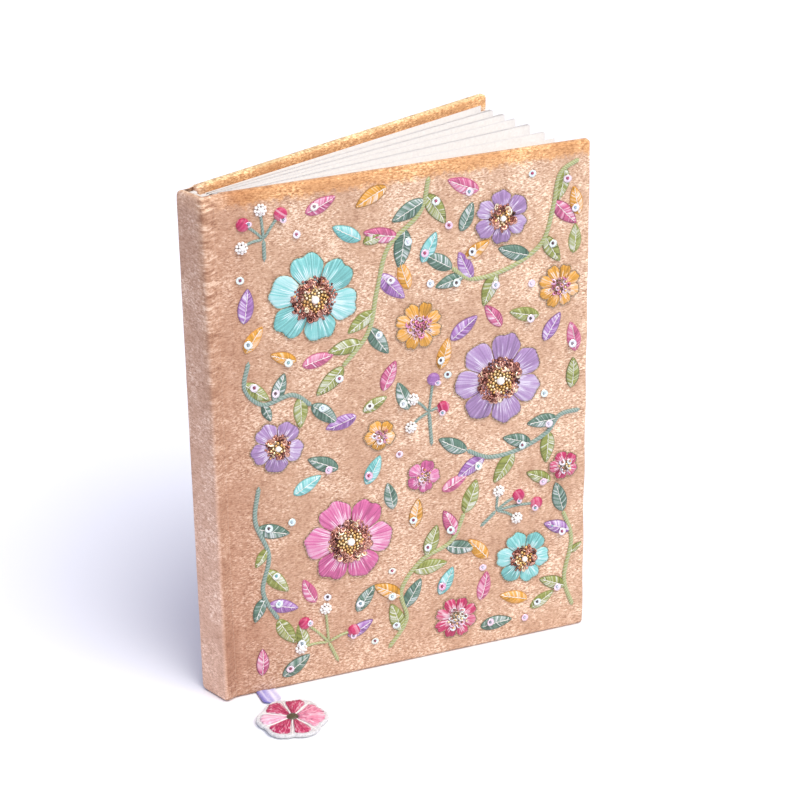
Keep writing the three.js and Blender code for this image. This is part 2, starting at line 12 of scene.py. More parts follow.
import bpy
import numpy as np
from mathutils import Matrix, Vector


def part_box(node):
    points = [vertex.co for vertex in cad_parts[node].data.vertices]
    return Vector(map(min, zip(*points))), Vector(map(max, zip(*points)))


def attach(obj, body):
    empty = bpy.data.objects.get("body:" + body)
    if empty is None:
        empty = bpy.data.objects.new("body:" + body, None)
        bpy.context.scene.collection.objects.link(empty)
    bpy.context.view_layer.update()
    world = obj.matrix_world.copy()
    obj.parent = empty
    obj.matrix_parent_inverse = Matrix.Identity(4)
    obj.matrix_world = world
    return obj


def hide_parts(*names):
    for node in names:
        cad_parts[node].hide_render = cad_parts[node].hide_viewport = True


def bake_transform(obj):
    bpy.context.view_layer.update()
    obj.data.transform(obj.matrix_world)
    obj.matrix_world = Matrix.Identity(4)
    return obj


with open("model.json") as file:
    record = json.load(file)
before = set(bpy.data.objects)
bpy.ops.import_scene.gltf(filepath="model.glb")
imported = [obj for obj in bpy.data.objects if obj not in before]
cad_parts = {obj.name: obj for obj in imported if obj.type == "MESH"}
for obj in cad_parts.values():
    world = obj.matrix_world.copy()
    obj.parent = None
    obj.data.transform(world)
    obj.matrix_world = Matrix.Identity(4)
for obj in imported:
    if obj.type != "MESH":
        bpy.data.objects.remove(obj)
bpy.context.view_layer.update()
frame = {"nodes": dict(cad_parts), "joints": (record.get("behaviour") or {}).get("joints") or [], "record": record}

MM = 0.001
scene = bpy.context.scene
print("the frame holds", len(frame["nodes"]), "pieces")

# %% [markdown]
# ## The camera
#
# The view comes first, because everything later is judged through it. A camera matrix has
# three columns: what is right, what is up and what is behind. They follow from three angles,
# the turn about the vertical, the tilt down and a slight roll. A long lens keeps the book's
# edges almost parallel, as in a catalogue picture.

# %% Camera
camera_place = np.array([-0.5557, -0.7154, 0.5544])
camera_turn = math.radians(-42.64)
camera_tilt = math.radians(25.16)
camera_roll = math.radians(-0.92)
camera_lens = 116.9  # mm, on a sensor this wide
sensor_width = 36.0
nearest_seen = 0.01


def place_camera():
    """Right is level, ahead points down by the tilt, and up is square to both."""
    right = np.array([math.cos(camera_turn), math.sin(camera_turn), 0.0])
    level = np.array([-math.sin(camera_turn), math.cos(camera_turn), 0.0])
    ahead = level * math.cos(camera_tilt) - np.array([0.0, 0.0, math.sin(camera_tilt)])
    up = np.cross(right, ahead)
    rolled = right * math.cos(camera_roll) + up * math.sin(camera_roll)
    upright = up * math.cos(camera_roll) - right * math.sin(camera_roll)
    matrix = np.eye(4)
    matrix[:3, 0], matrix[:3, 1], matrix[:3, 2] = rolled, upright, -ahead
    matrix[:3, 3] = camera_place
    data = bpy.data.cameras.new("view")
    data.lens = camera_lens
    data.sensor_width = sensor_width
    data.clip_start = nearest_seen
    camera = bpy.data.objects.new("view", data)
    camera.matrix_world = Matrix(matrix.tolist())
    scene.collection.objects.link(camera)
    scene.camera = camera


place_camera()
print("the camera is", round(float(np.linalg.norm(camera_place)), 2), "m from the origin")

# %% [markdown]
# ## Measuring the folds
#
# Every moving layer of the book turns about an upright line. The joint gives the line, and the
# layer's own flat shape gives the angle at which it stands now: seen from above, a flat layer
# is thinnest when it is looked at exactly along itself. With both known, a piece can be worked
# out in the closed book, where everything is square, and then turned to where it stands.

# %% Folds


def node_points(name):
    """The corner points of a frame piece, as rows of x, y and z."""
    mesh = frame["nodes"][name].data
    flat = np.empty(len(mesh.vertices) * 3)
    mesh.vertices.foreach_get("co", flat)
    return flat.reshape(-1, 3)


def turned(points, pivot, angle):
    """Points turned by an angle about the upright line through the pivot."""
    c, s = np.cos(angle), np.sin(angle)
    moved = np.array(points, float)
    x, y = moved[..., 0] - pivot[0], moved[..., 1] - pivot[1]
    moved[..., 0], moved[..., 1] = pivot[0] + c * x - s * y, pivot[1] + s * x + c * y
    return moved


def standing_angle(name):
    """The angle at which the piece is thinnest across, found by four searches, each sixty
    times finer than the last."""
    x, y = node_points(name)[:, 0], node_points(name)[:, 1]
    best, reach = 0.0, math.radians(45)
    for _ in range(4):
        tries = best + np.linspace(-reach, reach, 361)[:, None]
        across = -np.sin(tries) * x + np.cos(tries) * y
        best = float(tries[np.argmin(np.ptp(across, axis=1)), 0])
        reach /= 60
    return best


print("the front board stands at", round(math.degrees(standing_angle("front_board")), 1), "degrees")

# %% Bodies that turn


def joint_place(body):
    """Where the joint of a body stands in the frame."""
    joint = next(j for j in frame["joints"] if j["child"] == body)
    return np.array(joint["pos_m"], float)


class Fold:
    """A body that turns about an upright line, and where its pieces lie in the closed book."""

    def __init__(self, body, flat_piece):
        self.body = body
        self.pivot = joint_place(body)
        self.angle = standing_angle(flat_piece)

    def closed_box(self, name):
        """Lowest and highest corner of a frame piece in the closed book."""
        points = turned(node_points(name), self.pivot, -self.angle)
        return points.min(0), points.max(0)

    def stand(self, points):
        """Closed book to where the piece stands now."""
        return turned(points, self.pivot, self.angle)

    def bend(self, points, reach):
        """Like stand, but the turn grows from nothing over the first part of the way out."""
        share = np.clip((points[..., 0] - self.pivot[0]) / reach, 0, 1)
        return turned(points, self.pivot, self.angle * share)


front = Fold("front_cover", "front_board")
back = Fold("back_cover", "back_board")
front_low, front_high = front.closed_box("front_velvet")
back_low, back_high = back.closed_box("back_velvet")
joint_at_spine = joint_place("front_joint")
spine_low, spine_high = (np.array(p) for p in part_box("spine_velvet"))
book_height = float(spine_high[2])
cover_face = float(front_low[1])
print("front cover stands open", round(-math.degrees(front.angle), 2), "degrees")

# %% [markdown]
# ## Helpers for surfaces
#
# Each shape in this lesson is a set of points worked out as whole arrays. These helpers turn
# them into meshes: a grid of points becomes triangles, rows of rings become a tube, and many
# small parts become one piece. A closed shape whose volume comes out negative is inside out,
# so its triangles are flipped.

# %% Surface helpers


def grid_faces(rows, cols, ring=False):
    """Two triangles for each cell of a grid of points; a ring also joins the last column."""
    i, j = np.meshgrid(np.arange(rows - 1), np.arange(cols if ring else cols - 1), indexing="ij")
    a, b = i * cols + j, i * cols + (j + 1) % cols
    c, d = a + cols, b + cols
    return np.concatenate([np.stack([a, c, d], -1), np.stack([a, d, b], -1)]).reshape(-1, 3)


def cap_faces(first, count, flip=False):
    """A ladder over a closed row of points that starts at this index. Its rungs join the two
    sides of the row, so it also fills a bent section."""
    j = np.arange(count // 2)
    near = np.stack([j, j + 1, count - 1 - j], -1)
    far = np.stack([j + 1, count - 2 - j, count - 1 - j], -1)
    faces = np.concatenate([near[near[:, 1] < near[:, 2]], far[far[:, 0] < far[:, 1]]]) + first
    return faces[:, ::-1] if flip else faces


def outward(points, faces):
    """The same faces, flipped where the closed shape's volume is negative."""
    a, b, c = (points[faces[:, k]] for k in range(3))
    volume = np.einsum("ij,ij->i", a, np.cross(b, c)).sum()
    return faces[:, ::-1] if volume < 0 else faces


def ring_skin(points):
    """Rows of closed rings joined to a tube with flat ends, from an array of rows and points."""
    rows, cols = points.shape[:2]
    last = (rows - 1) * cols
    faces = [grid_faces(rows, cols, ring=True), cap_faces(0, cols), cap_faces(last, cols, True)]
    return points.reshape(-1, 3), np.concatenate(faces)


def welded(points, faces, *values):
    """Joins points that lie together and drops the faces that this makes empty. Shapes wider
    than 1 are drawn in millimetres, and the others in metres."""
    together = 1e-4 if np.ptp(points) > 1 else 1e-7
    keys = np.round(points / together).astype(np.int64)
    _, first, back_to = np.unique(keys, axis=0, return_index=True, return_inverse=True)
    faces = back_to.reshape(-1)[faces]
    a, b, c = faces.T
    faces = faces[(a != b) & (b != c) & (a != c)]
    return (points[first], faces, *(v[first] for v in values))


def joined(parts):
    """Several (points, faces, shade) parts as one."""
    starts = np.cumsum([0] + [len(p[0]) for p in parts[:-1]])
    points = np.concatenate([p[0] for p in parts])
    faces = np.concatenate([p[1] + s for p, s in zip(parts, starts)])
    shade = np.concatenate([p[2] for p in parts])
    return points, faces, shade


print("a tube of three rings of six has", len(ring_skin(np.zeros((3, 6, 3)))[1]), "triangles")

# %% Pieces and ripples


def make_piece(name, points, faces, materials, shade=None, index=None):
    """A mesh object at the origin, with its place in its points. The shade is an attribute
    that its materials may read, and the index picks a material for each face."""
    mesh = bpy.data.meshes.new(name)
    mesh.vertices.add(len(points))
    mesh.vertices.foreach_set("co", np.ascontiguousarray(points, np.float32).ravel())
    mesh.loops.add(faces.size)
    mesh.loops.foreach_set("vertex_index", np.ascontiguousarray(faces, np.int32).ravel())
    mesh.polygons.add(len(faces))
    mesh.polygons.foreach_set("loop_start", np.arange(len(faces), dtype=np.int32) * 3)
    mesh.update(calc_edges=True)
    mesh.polygons.foreach_set("use_smooth", np.ones(len(faces), bool))
    if shade is not None:
        mesh.attributes.new("shade", "FLOAT", "POINT").data.foreach_set(
            "value", np.asarray(shade, np.float32))
    for material in materials if isinstance(materials, (list, tuple)) else [materials]:
        mesh.materials.append(material)
    if index is not None:
        mesh.polygons.foreach_set("material_index", np.asarray(index, np.int32))
    mesh.validate()
    piece = bpy.data.objects.new(name, mesh)
    scene.collection.objects.link(piece)
    return piece


def ripple(x, z, length, seed, waves=7):
    """Smooth random hills between about -1 and 1: a sum of plane waves of one length."""
    rng = np.random.default_rng(seed)
    hills = np.zeros(np.broadcast(x, z).shape)
    for _ in range(waves):
        heading, phase = rng.uniform(0, 2 * math.pi, 2)
        k = 2 * math.pi / length * rng.uniform(0.7, 1.4)
        hills += np.sin(k * (x * math.cos(heading) + z * math.sin(heading)) + phase)
    return hills / math.sqrt(waves)


print("pieces can be made")

# %% [markdown]
# ## Material helpers
#
# A material here is a Principled shader fed by patterns on Object coordinates. As every
# object sits at the origin, those coordinates are places in the book, in metres, so a pattern
# runs on from one piece to the next without a seam. Effects that several materials share are
# node groups.

# %% Material helpers


def feed(tree, socket, value):
    """Gives an input a link or a value of its own."""
    if isinstance(value, bpy.types.NodeSocket):
        tree.links.new(value, socket)
    else:
        socket.default_value = value


def add_node(tree, kind, inputs=None, **settings):
    """One node with its settings and the values or links of its inputs."""
    node = tree.nodes.new(kind)
    for key, value in settings.items():
        setattr(node, key, value)
    for key, value in (inputs or {}).items():
        feed(tree, node.inputs[key], value)
    return node


def noise(tree, vector, scale, detail=2.0, roughness=0.5):
    """Noise with features of about one over the scale, in metres."""
    settings = {"Vector": vector, "Scale": scale, "Detail": detail, "Roughness": roughness}
    return add_node(tree, "ShaderNodeTexNoise", settings).outputs["Fac"]


def calculate(tree, operation, a, b):
    """One step of arithmetic on two values or links."""
    return add_node(tree, "ShaderNodeMath", {0: a, 1: b}, operation=operation).outputs[0]


def product(tree, result, *factors):
    """Values or links multiplied together."""
    for factor in factors:
        result = calculate(tree, "MULTIPLY", result, factor)
    return result


def total(tree, result, *terms):
    """Values or links added together."""
    for term in terms:
        result = calculate(tree, "ADD", result, term)
    return result


def rest_of(tree, share):
    """What is left of 1: one less the share."""
    return calculate(tree, "SUBTRACT", 1.0, share)


def centred(tree, value):
    """A pattern that runs from 0 to 1, moved to run evenly about 0."""
    return calculate(tree, "SUBTRACT", value, 0.5)


def ramp(tree, factor, stops):
    """A colour ramp through the given (place, colour) stops."""
    node = add_node(tree, "ShaderNodeValToRGB", {"Fac": factor})
    elements = node.color_ramp.elements
    while len(elements) < len(stops):
        elements.new(0.5)
    for element, (place, colour) in zip(elements, stops):
        element.position = place
        element.color = (*colour, 1.0)
    return node.outputs["Color"]


print("noise, arithmetic and ramps ready")

# %% Colours, groups and materials


def blended(tree, factor, a, b, mode="MIX"):
    """Two colours mixed by a factor. Each is a link, or red, green and blue."""
    node = add_node(tree, "ShaderNodeMix", data_type="RGBA", blend_type=mode)
    for key, value in (("Factor", factor), ("A", a), ("B", b)):
        socket = next(s for s in node.inputs if s.name == key and s.enabled)
        feed(tree, socket, (*value, 1.0) if isinstance(value, tuple) else value)
    return next(s for s in node.outputs if s.enabled)


def new_group(name, inputs, outputs):
    """An empty node group whose named inputs and outputs are all plain values."""
    tree = bpy.data.node_groups.new(name, "ShaderNodeTree")
    for key, default in inputs.items():
        tree.interface.new_socket(
            name=key, in_out="INPUT", socket_type="NodeSocketFloat").default_value = default
    for key in outputs:
        tree.interface.new_socket(name=key, in_out="OUTPUT", socket_type="NodeSocketFloat")
    given = tree.nodes.new("NodeGroupInput")
    made = tree.nodes.new("NodeGroupOutput")
    place = tree.nodes.new("ShaderNodeTexCoord").outputs["Object"]
    return tree, given.outputs, made.inputs, place


def use_group(tree, group, **values):
    """A node group placed in a material with its own values, and the group's outputs."""
    node = tree.nodes.new("ShaderNodeGroup")
    node.node_tree = group
    for key, value in values.items():
        feed(tree, node.inputs[key], value)
    return node.outputs


def new_material(name, **sockets):
    """A material with a Principled shader whose constant values are set on its own sockets."""
    material = bpy.data.materials.new(name)
    material.use_nodes = True
    tree = material.node_tree
    shader = tree.nodes["Principled BSDF"]
    for key, value in sockets.items():
        shader.inputs[key.replace("_", " ")].default_value = value
    return material, tree, shader


def add_bump(tree, shader, height, distance, strength=1.0):
    """Relief that only bends the light: a height pattern, this many metres deep."""
    bump = add_node(
        tree, "ShaderNodeBump",
        {"Height": height, "Distance": distance, "Strength": strength},
    )
    tree.links.new(bump.outputs["Normal"], shader.inputs["Normal"])


print("colours, groups and materials can be made")

# %% [markdown]
# ## Crushed velvet
#
# Velvet is short upright pile. Where it has been brushed or pressed, the pile lies another
# way and throws back more or less light, so the cloth looks mottled although it is one
# colour. Three sizes of noise imitate that: brushed patches of two centimetres, dents of two
# millimetres, and the tips of the pile, short level strokes that stand out more in some
# patches than in others.
#
# Along the head of both covers the pile is more orange, and on the spine it is lighter there.
# The level top of the back cover's head gets a painted highlight. The side of the spine gets
# painted shade, greyer and darker, and towards the tail painted light thrown up from the floor.
# Over the front runs a painted fall of light, from shade low beside the spine to light high at
# the far edge, and next to the spine the front gets more painted shade. These changes are
# tints, which multiply the mottled colour and so keep its speckle. Along the upper shoulder of
# the spine the pile is combed into short level strokes, and there the spine gets no painted shade.

# %% Colours of the velvet
velvet_deep = (0.36, 0.18, 0.11)
velvet_mid = (0.54, 0.31, 0.20)
velvet_pale = (0.66, 0.41, 0.28)
velvet_glint = (0.90, 0.655, 0.485)
head_tint = (1.07, 0.86, 0.58)
# painted highlight on the level top of the back cover's head
crest_highlight_tint = (1.18, 1.28, 0.96)
shoulder_tint = (1.15, 1.18, 1.15)
# painted shade on the side of the spine, greyer and darker
spine_shade_tint = (0.90, 0.93, 0.98)
# painted light thrown up from the floor onto the side of the spine, growing towards the tail
tail_bounce_light_tint = (1.42, 1.46, 1.50)
# a painted fall of light over the front, from shade at the low left to light at the upper right
low_left_shade_tint = (0.78, 0.73, 0.70)
high_right_light_tint = (1.24, 1.40, 1.38)
# painted shade on the front next to the spine
margin_shade_tint = (0.88, 0.80, 0.78)
print("the velvet runs from", velvet_deep, "to", velvet_glint)

# %% Where the pile changes
# Each pair is where a change begins and where it is complete. The first three are measured
# across the book from the spine, the next two through it from its middle, with the front below
# zero, and the last is a height.
covers_from = (3 * MM, 14 * MM)
shoulder_from = (7 * MM, 1 * MM)
shade_margin_from = (24 * MM, 9 * MM)
front_from = (-2.5 * MM, -7.5 * MM)
behind_from = (2 * MM, 6 * MM)
combed_from = (0.3 * book_height, book_height)
orange_depth = 7 * MM  # of the orange pile, down from the head
cover_reach = 155 * MM  # from the spine to the fore-edge

# How much each part of the pile counts in the way that it lies.
speckle_share = 0.42
coarse_share = 0.5
spine_calm = 0.25
patch_share = 0.26
dent_share = 0.16
stroke_share = 0.7
middle_lay = 0.303
fall_bend = 0.7
pile_depth = 0.28 * MM
print("the orange pile reaches", orange_depth / MM, "mm down from the head")

# %% The pile


def stretched(tree, place, shape):
    """The place times a factor for each axis: a small factor draws a pattern out along it."""
    return add_node(tree, "ShaderNodeMapping", {"Vector": place, "Scale": shape}).outputs[0]


def pile_group():
    """Patches, dents and tips of a pile, each from 0 to 1, and their height together."""
    tree, given, made, place = new_group(
        "pile", {"Patch": 48.0, "Dent": 420.0, "Tip": 1900.0},
        ["Patches", "Dents", "Tips", "Height"])
    patches = noise(tree, place, given["Patch"], 3.0, 0.6)
    dents = noise(tree, place, given["Dent"], 2.0, 0.6)
    tips = noise(tree, stretched(tree, place, (0.42, 0.42, 1.0)), given["Tip"], 2.0, 0.7)
    height = total(tree, product(tree, dents, 0.6), tips)
    for key, value in (
        ("Patches", patches), ("Dents", dents), ("Tips", tips), ("Height", height),
    ):
        tree.links.new(value, made[key])
    return tree


pile = pile_group()
print("the pile is a group of", len(pile.nodes), "nodes")

# %% Masks for the velvet


def eased(tree, value, low, high):
    """0 below low, 1 above high and smooth between."""
    return add_node(tree, "ShaderNodeMapRange", {
        "Value": value, "From Min": low, "From Max": high,
    }, interpolation_type="SMOOTHSTEP").outputs["Result"]


def facing(tree, axis, low, high):
    """How far the surface faces along an axis, as 0 below low and 1 above high."""
    normal = tree.nodes.new("ShaderNodeNewGeometry").outputs["Normal"]
    part = add_node(tree, "ShaderNodeVectorMath", {0: normal, 1: axis}, operation="DOT_PRODUCT")
    return eased(tree, part.outputs["Value"], low, high)


def velvet_lay(tree, made, place, on_spine, combed):
    """How the pile lies, as one value for the colours: speckle, patches, dents and strokes
    added up. The speckle is stronger in some patches and calmer on the spine, and the strokes
    show only where the pile is combed."""
    coarse = product(tree, eased(tree, made["Patches"], 0.35, 0.6), coarse_share)
    calm = rest_of(tree, product(tree, on_spine, spine_calm))
    speckle = product(
        tree, centred(tree, made["Tips"]), total(tree, coarse, speckle_share), calm)
    strokes = centred(tree, noise(tree, stretched(tree, place, (0.3, 0.3, 1.3)), 640.0, 1.0))
    return total(
        tree, speckle,
        product(tree, made["Patches"], patch_share),
        product(tree, made["Dents"], dent_share),
        product(tree, strokes, product(tree, combed, stroke_share)),
        middle_lay)


def painted_light_fall(tree, axes):
    """A painted fall of light over the front: a tint from painted shade low beside the spine to
    painted light high at the far edge, by half the way across and half the way up, added and
    raised to a power."""
    rightward = product(tree, axes["X"], 0.5 / cover_reach)
    upward = product(tree, axes["Z"], 0.5 / book_height)
    along = calculate(tree, "MAXIMUM", total(tree, rightward, upward), 0.001)
    share = calculate(tree, "POWER", along, fall_bend)
    return blended(tree, share, low_left_shade_tint, high_right_light_tint)


print("the masks reach over", cover_reach / MM, "mm across the cover")

# %% Velvet


def velvet_material():
    """Velvet: a colour from the way its pile lies, times a tint for each place on the book; most
    of the tints are painted light and shade.
    """
    material, tree, shader = new_material(
        "velvet", Roughness=0.9, Sheen_Weight=0.35, Sheen_Roughness=0.4,
        Sheen_Tint=(1.0, 0.85, 0.75, 1.0), Specular_IOR_Level=0.1)
    made = use_group(tree, pile)
    place = tree.nodes.new("ShaderNodeTexCoord").outputs["Object"]
    axes = add_node(tree, "ShaderNodeSeparateXYZ", {"Vector": place}).outputs
    on_covers = eased(tree, axes["X"], *covers_from)
    on_spine = rest_of(tree, on_covers)
    at_front = eased(tree, axes["Y"], *front_from)
    shoulder = product(tree, at_front, eased(tree, axes["X"], *shoulder_from))
    combed = product(tree, shoulder, eased(tree, axes["Z"], *combed_from))
    colour = ramp(tree, velvet_lay(tree, made, place, on_spine, combed), [
        (0.38, velvet_deep), (0.48, velvet_mid), (0.565, velvet_pale), (0.66, velvet_glint)])
    ragged = product(tree, centred(tree, made["Dents"]), orange_depth)
    near_head = eased(
        tree, total(tree, axes["Z"], ragged),
        book_height - orange_depth, book_height - 0.5 * orange_depth)
    level = facing(tree, (0, 0, 1), 0.3, 0.9)
    # painted highlight where the back cover's head faces up
    lit_crest = product(tree, level, eased(tree, axes["Y"], *behind_from), on_covers)
    # more orange along the head of both covers, but not on the highlighted crest
    orange_head = product(tree, near_head, calculate(tree, "SUBTRACT", on_covers, lit_crest))
    # painted shade on the side of the spine that faces away from the lamp, except where the pile is combed
    side = product(tree, facing(tree, (-1, 0, 0), 0.15, 0.95), rest_of(tree, combed))
    off_side = rest_of(tree, side)
    # painted shade on the front beside the spine, fading out across the cover
    shaded_margin = product(tree, at_front, eased(tree, axes["X"], *shade_margin_from), off_side)
    low_down = eased(tree, axes["Z"], book_height, 0.0)
    # tints: the head is more orange and the spine lighter near it; the rest are painted light and shade: the
    # crest's highlight, the spine's shade, the floor's light at the tail, the fall of light over the front and the
    # shade beside the spine
    for amount, tint in (
        (orange_head, head_tint),
        (lit_crest, crest_highlight_tint),
        (product(tree, near_head, on_spine), shoulder_tint),
        (side, spine_shade_tint),
        (product(tree, side, low_down), tail_bounce_light_tint),
        (off_side, painted_light_fall(tree, axes)),
        (shaded_margin, margin_shade_tint),
    ):
        colour = blended(tree, amount, colour, tint, "MULTIPLY")
    tree.links.new(colour, shader.inputs["Base Color"])
    add_bump(tree, shader, made["Height"], pile_depth, 0.7)
    return material


velvet = velvet_material()
print("velvet woven with", len(velvet.node_tree.nodes), "nodes")

# %% [markdown]
# ## Paper, board and thread finishes
#
# Paper is nearly white with a faint grain. Thread is shinier, and what tells one stitch from
# the next is a small change of tone. Each stitched mesh therefore carries a shade attribute,
# and the thread material turns it into a dark, a full and a pale tone of its own colour.

# %% Fibre and thread
thread_dark = 0.42
thread_pale = 0.6


def fibre_group():
    """Fine streaks of fibre, as a tone and a height."""
    tree, given, made, place = new_group("fibre", {"Scale": 1800.0}, ["Tone", "Height"])
    tone = noise(tree, place, given["Scale"], 2.0, 0.6)
    tree.links.new(tone, made["Tone"])
    tree.links.new(tone, made["Height"])
    return tree


fibre = fibre_group()


def plain_material(name, dark, pale, scale, bump, **sockets):
    """A matt finish whose tone drifts between two colours over a fibre pattern."""
    material, tree, shader = new_material(name, **sockets)
    made = use_group(tree, fibre, Scale=scale)
    colour = ramp(tree, made["Tone"], [(0.3, dark), (0.7, pale)])
    tree.links.new(colour, shader.inputs["Base Color"])
    add_bump(tree, shader, made["Height"], bump)
    return material


def mesh_shade(tree):
    """The shade that a mesh carries at each of its points."""
    return add_node(tree, "ShaderNodeAttribute", attribute_name="shade").outputs["Fac"]


def drifting_shade(tree, made, amount):
    """The shade of the mesh, with a drift of this amount along the fibre."""
    return total(tree, mesh_shade(tree), product(tree, centred(tree, made["Tone"]), amount))


def thread_material(name, colour):
    """Satin thread: the shade of the mesh runs from a dark to a pale tone of one colour. The
    dark tone is the colour made weaker, and the pale one is part of the way to white."""
    material, tree, shader = new_material(
        name, Roughness=0.42, Sheen_Weight=0.25, Sheen_Roughness=0.4)
    dark = tuple(c * thread_dark for c in colour)
    pale = tuple(c + (1 - c) * thread_pale for c in colour)
    made = use_group(tree, fibre, Scale=2600.0)
    stops = [(0.0, dark), (0.45, colour), (1.0, pale)]
    tree.links.new(ramp(tree, drifting_shade(tree, made, 0.3), stops), shader.inputs["Base Color"])
    add_bump(tree, shader, made["Height"], 0.1 * MM, 0.6)
    return material


print("the fibre is a group of", len(fibre.nodes), "nodes")

# %% Paper, board and thread colours
paper = plain_material(
    "paper", (0.73, 0.685, 0.62), (0.80, 0.76, 0.69), 900.0, 0.02 * MM, Roughness=0.8)
board = plain_material(
    "board", (0.26, 0.22, 0.17), (0.42, 0.37, 0.29), 500.0, 0.1 * MM, Roughness=0.95)
lining = plain_material(
    "lining_paper", (0.45, 0.33, 0.2), (0.58, 0.45, 0.3), 500.0, 0.05 * MM, Roughness=0.9)
gauze = plain_material(
    "mull", (0.68, 0.62, 0.5), (0.85, 0.8, 0.68), 1500.0, 0.1 * MM, Roughness=0.9)
band_silk = plain_material(
    "band_silk", (0.72, 0.62, 0.5), (0.9, 0.84, 0.72), 1500.0, 0.1 * MM, Roughness=0.6)

tones = {
    "aqua": (0.22, 0.59, 0.55), "lilac": (0.40, 0.245, 0.46), "pink": (0.64, 0.13, 0.31),
    "gold": (0.76, 0.36, 0.04), "crimson": (0.55, 0.03, 0.12), "olive": (0.31, 0.34, 0.075),
    "sage": (0.12, 0.22, 0.155), "rose": (0.62, 0.13, 0.26), "purple": (0.38, 0.17, 0.44),
    "cream": (0.86, 0.81, 0.72), "bronze": (0.32, 0.20, 0.09),
}
thread = {key: thread_material(f"{key}_thread", value) for key, value in tones.items()}
print(len(thread), "thread colours")

# %% Finishes on the pieces inside
for node, finish in {
    "spine_board": board, "front_board": board, "back_board": board,
    "front_infill": board, "back_infill": board, "spine_lining": lining, "mull": gauze,
    "headband": band_silk, "tailband": band_silk, "sewn_backs": paper,
    "front_pastedown": paper, "back_pastedown": paper,
}.items():
    held = frame["nodes"][node].data.materials
    held.clear()
    held.append(finish)
print("finished the pieces inside")

# %% [markdown]
# ## The ribbon
#
# A satin ribbon marks the page. It is glued to the head of the backs, lies down the inside of
# the front cover, turns under the cover's tail and comes out on the table, where the charm is
# sewn to it. Its path is given as a list of places. The section is a flat band carried along
# the path: across is always the book's X in the closed book, and the thickness follows the
# turn of the path.

# %% The ribbon's route
ribbon_width = 8 * MM
ribbon_thick = 0.3 * MM
drawn_share = 0.3  # of its width, where the charm is sewn on
drawn_length = 2.2 * MM
table_start = -6 * MM  # out of the book, where it lies on the table and begins to fold
table_fade = 2 * MM
fold_height = 0.35 * MM
ribbon_route = [  # across the cover, out of the book, and up, in the closed book, in mm
    (14.6, -3.535, 213.2), (14.8, -3.535, 198), (15.1, -3.535, 182), (15.45, -3.535, 166),
    (15.75, -3.535, 150), (16.1, -3.535, 134), (16.45, -3.535, 118), (16.8, -3.535, 102),
    (17.1, -3.535, 86), (17.45, -3.535, 72), (17.7, -3.535, 60), (17.7, -3.535, 40),
    (17.7, -3.535, 20), (17.7, -3.535, 8), (17.7, -3.535, 1.4), (17.7, -3.626, 0.941),
    (17.7, -3.886, 0.551), (17.7, -4.276, 0.291), (17.7, -4.735, 0.2), (17.7, -7.5, 0.2),
    (17.7, -11, 0.2), (17.7, -14.835, 0.2), (17.7, -18.835, 0.2),
]
print("the ribbon passes", len(ribbon_route), "places")

# %% Satin


def satin_material():
    """Woven satin: a smooth sheen with fine cross threads, and the mesh's shade paints highlights
    and shade along its folds.
    """
    material, tree, shader = new_material(
        "ribbon_satin", Roughness=0.32, Sheen_Weight=0.3, Anisotropic=0.5)
    made = use_group(tree, fibre, Scale=1400.0)
    colour = ramp(tree, drifting_shade(tree, made, 0.4), [
        (0.1, (0.17, 0.155, 0.48)), (0.5, (0.38, 0.36, 0.70)), (1.0, (0.88, 0.87, 0.97))])
    tree.links.new(colour, shader.inputs["Base Color"])
    add_bump(tree, shader, made["Height"], 0.06 * MM)
    return material


satin = satin_material()
print("satin woven")

# %% Ribbon


def ribbon_piece():
    """A flat band along the route: a flattened oval across and through the ribbon at every
    step. Its folds are waves across it, and its end is drawn together."""
    route = np.array(ribbon_route) * MM
    route[:, 0] += spine_low[0]
    step = np.linspace(0, len(route) - 1, 4 * (len(route) - 1) + 1)
    path = np.stack([np.interp(step, np.arange(len(route)), route[:, k]) for k in range(3)], -1)
    along = np.gradient(path, axis=0)
    out = np.stack([np.zeros(len(path)), along[:, 2], -along[:, 1]], -1)
    out /= np.linalg.norm(out, axis=1)[:, None]
    to_end = np.clip((path[:, 1] - path[-1, 1]) / drawn_length, 0, 1)
    half_width = ribbon_width / 2 * (drawn_share + (1 - drawn_share) * to_end)
    turn = np.linspace(0, 2 * math.pi, 36, endpoint=False)
    flat = np.sign(np.cos(turn)) * np.abs(np.cos(turn)) ** 0.6
    thick = np.sin(turn)
    across = np.array([1.0, 0, 0]) * (half_width[:, None] * flat)[..., None]
    run = np.arange(len(path))[:, None]
    on_table = np.clip((table_start - path[:, 1]) / table_fade, 0, 1)[:, None]
    fold = fold_height * on_table * (1 - np.cos(math.pi * (flat[None] + 1) + 0.1 * run))
    points = path[:, None] + across + out[:, None] * (ribbon_thick / 2 * thick)[None, :, None]
    points[..., 2] += fold
    drift = flat[None] + 0.06 * np.sin(0.5 * run)
    # painted sheen across the ribbon: pale stripes of highlight and darker ones of shade, strongest on the table
    # where it folds
    sheen_stripes = np.interp(
        drift, [-1, -0.78, -0.5, -0.25, 0.0, 0.35, 0.65, 1], [0, 0.3, 0.85, 0.3, 0.55, 1, 0.7, 0.95])
    shade = 0.35 + (sheen_stripes - 0.35) * (0.3 + 0.7 * on_table)
    points, faces = ring_skin(points)
    piece = make_piece(
        "satin_ribbon", front.stand(points), outward(points, faces), satin, shade.reshape(-1))
    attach(piece, "front_cover")
    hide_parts("ribbon")
    return piece, front.stand(path)


ribbon, ribbon_path = ribbon_piece()
head_end = frame["nodes"]["ribbon_head"].data
head_end.materials.clear()
head_end.materials.append(satin)

# %% [markdown]
# ## Velvet over the boards
#
# A covered board is a slab with soft edges. Its skin starts as six flat grids on a box, and
# every point is then moved onto a surface at one distance from a smaller box inside, which
# rounds all edges and corners at once. The cloth gets low ripples where it was brushed, and it
# is drawn down a little round each stitched flower. A second skin, just outside the board,
# closes it from within, so the cloth is a shell with the board inside.

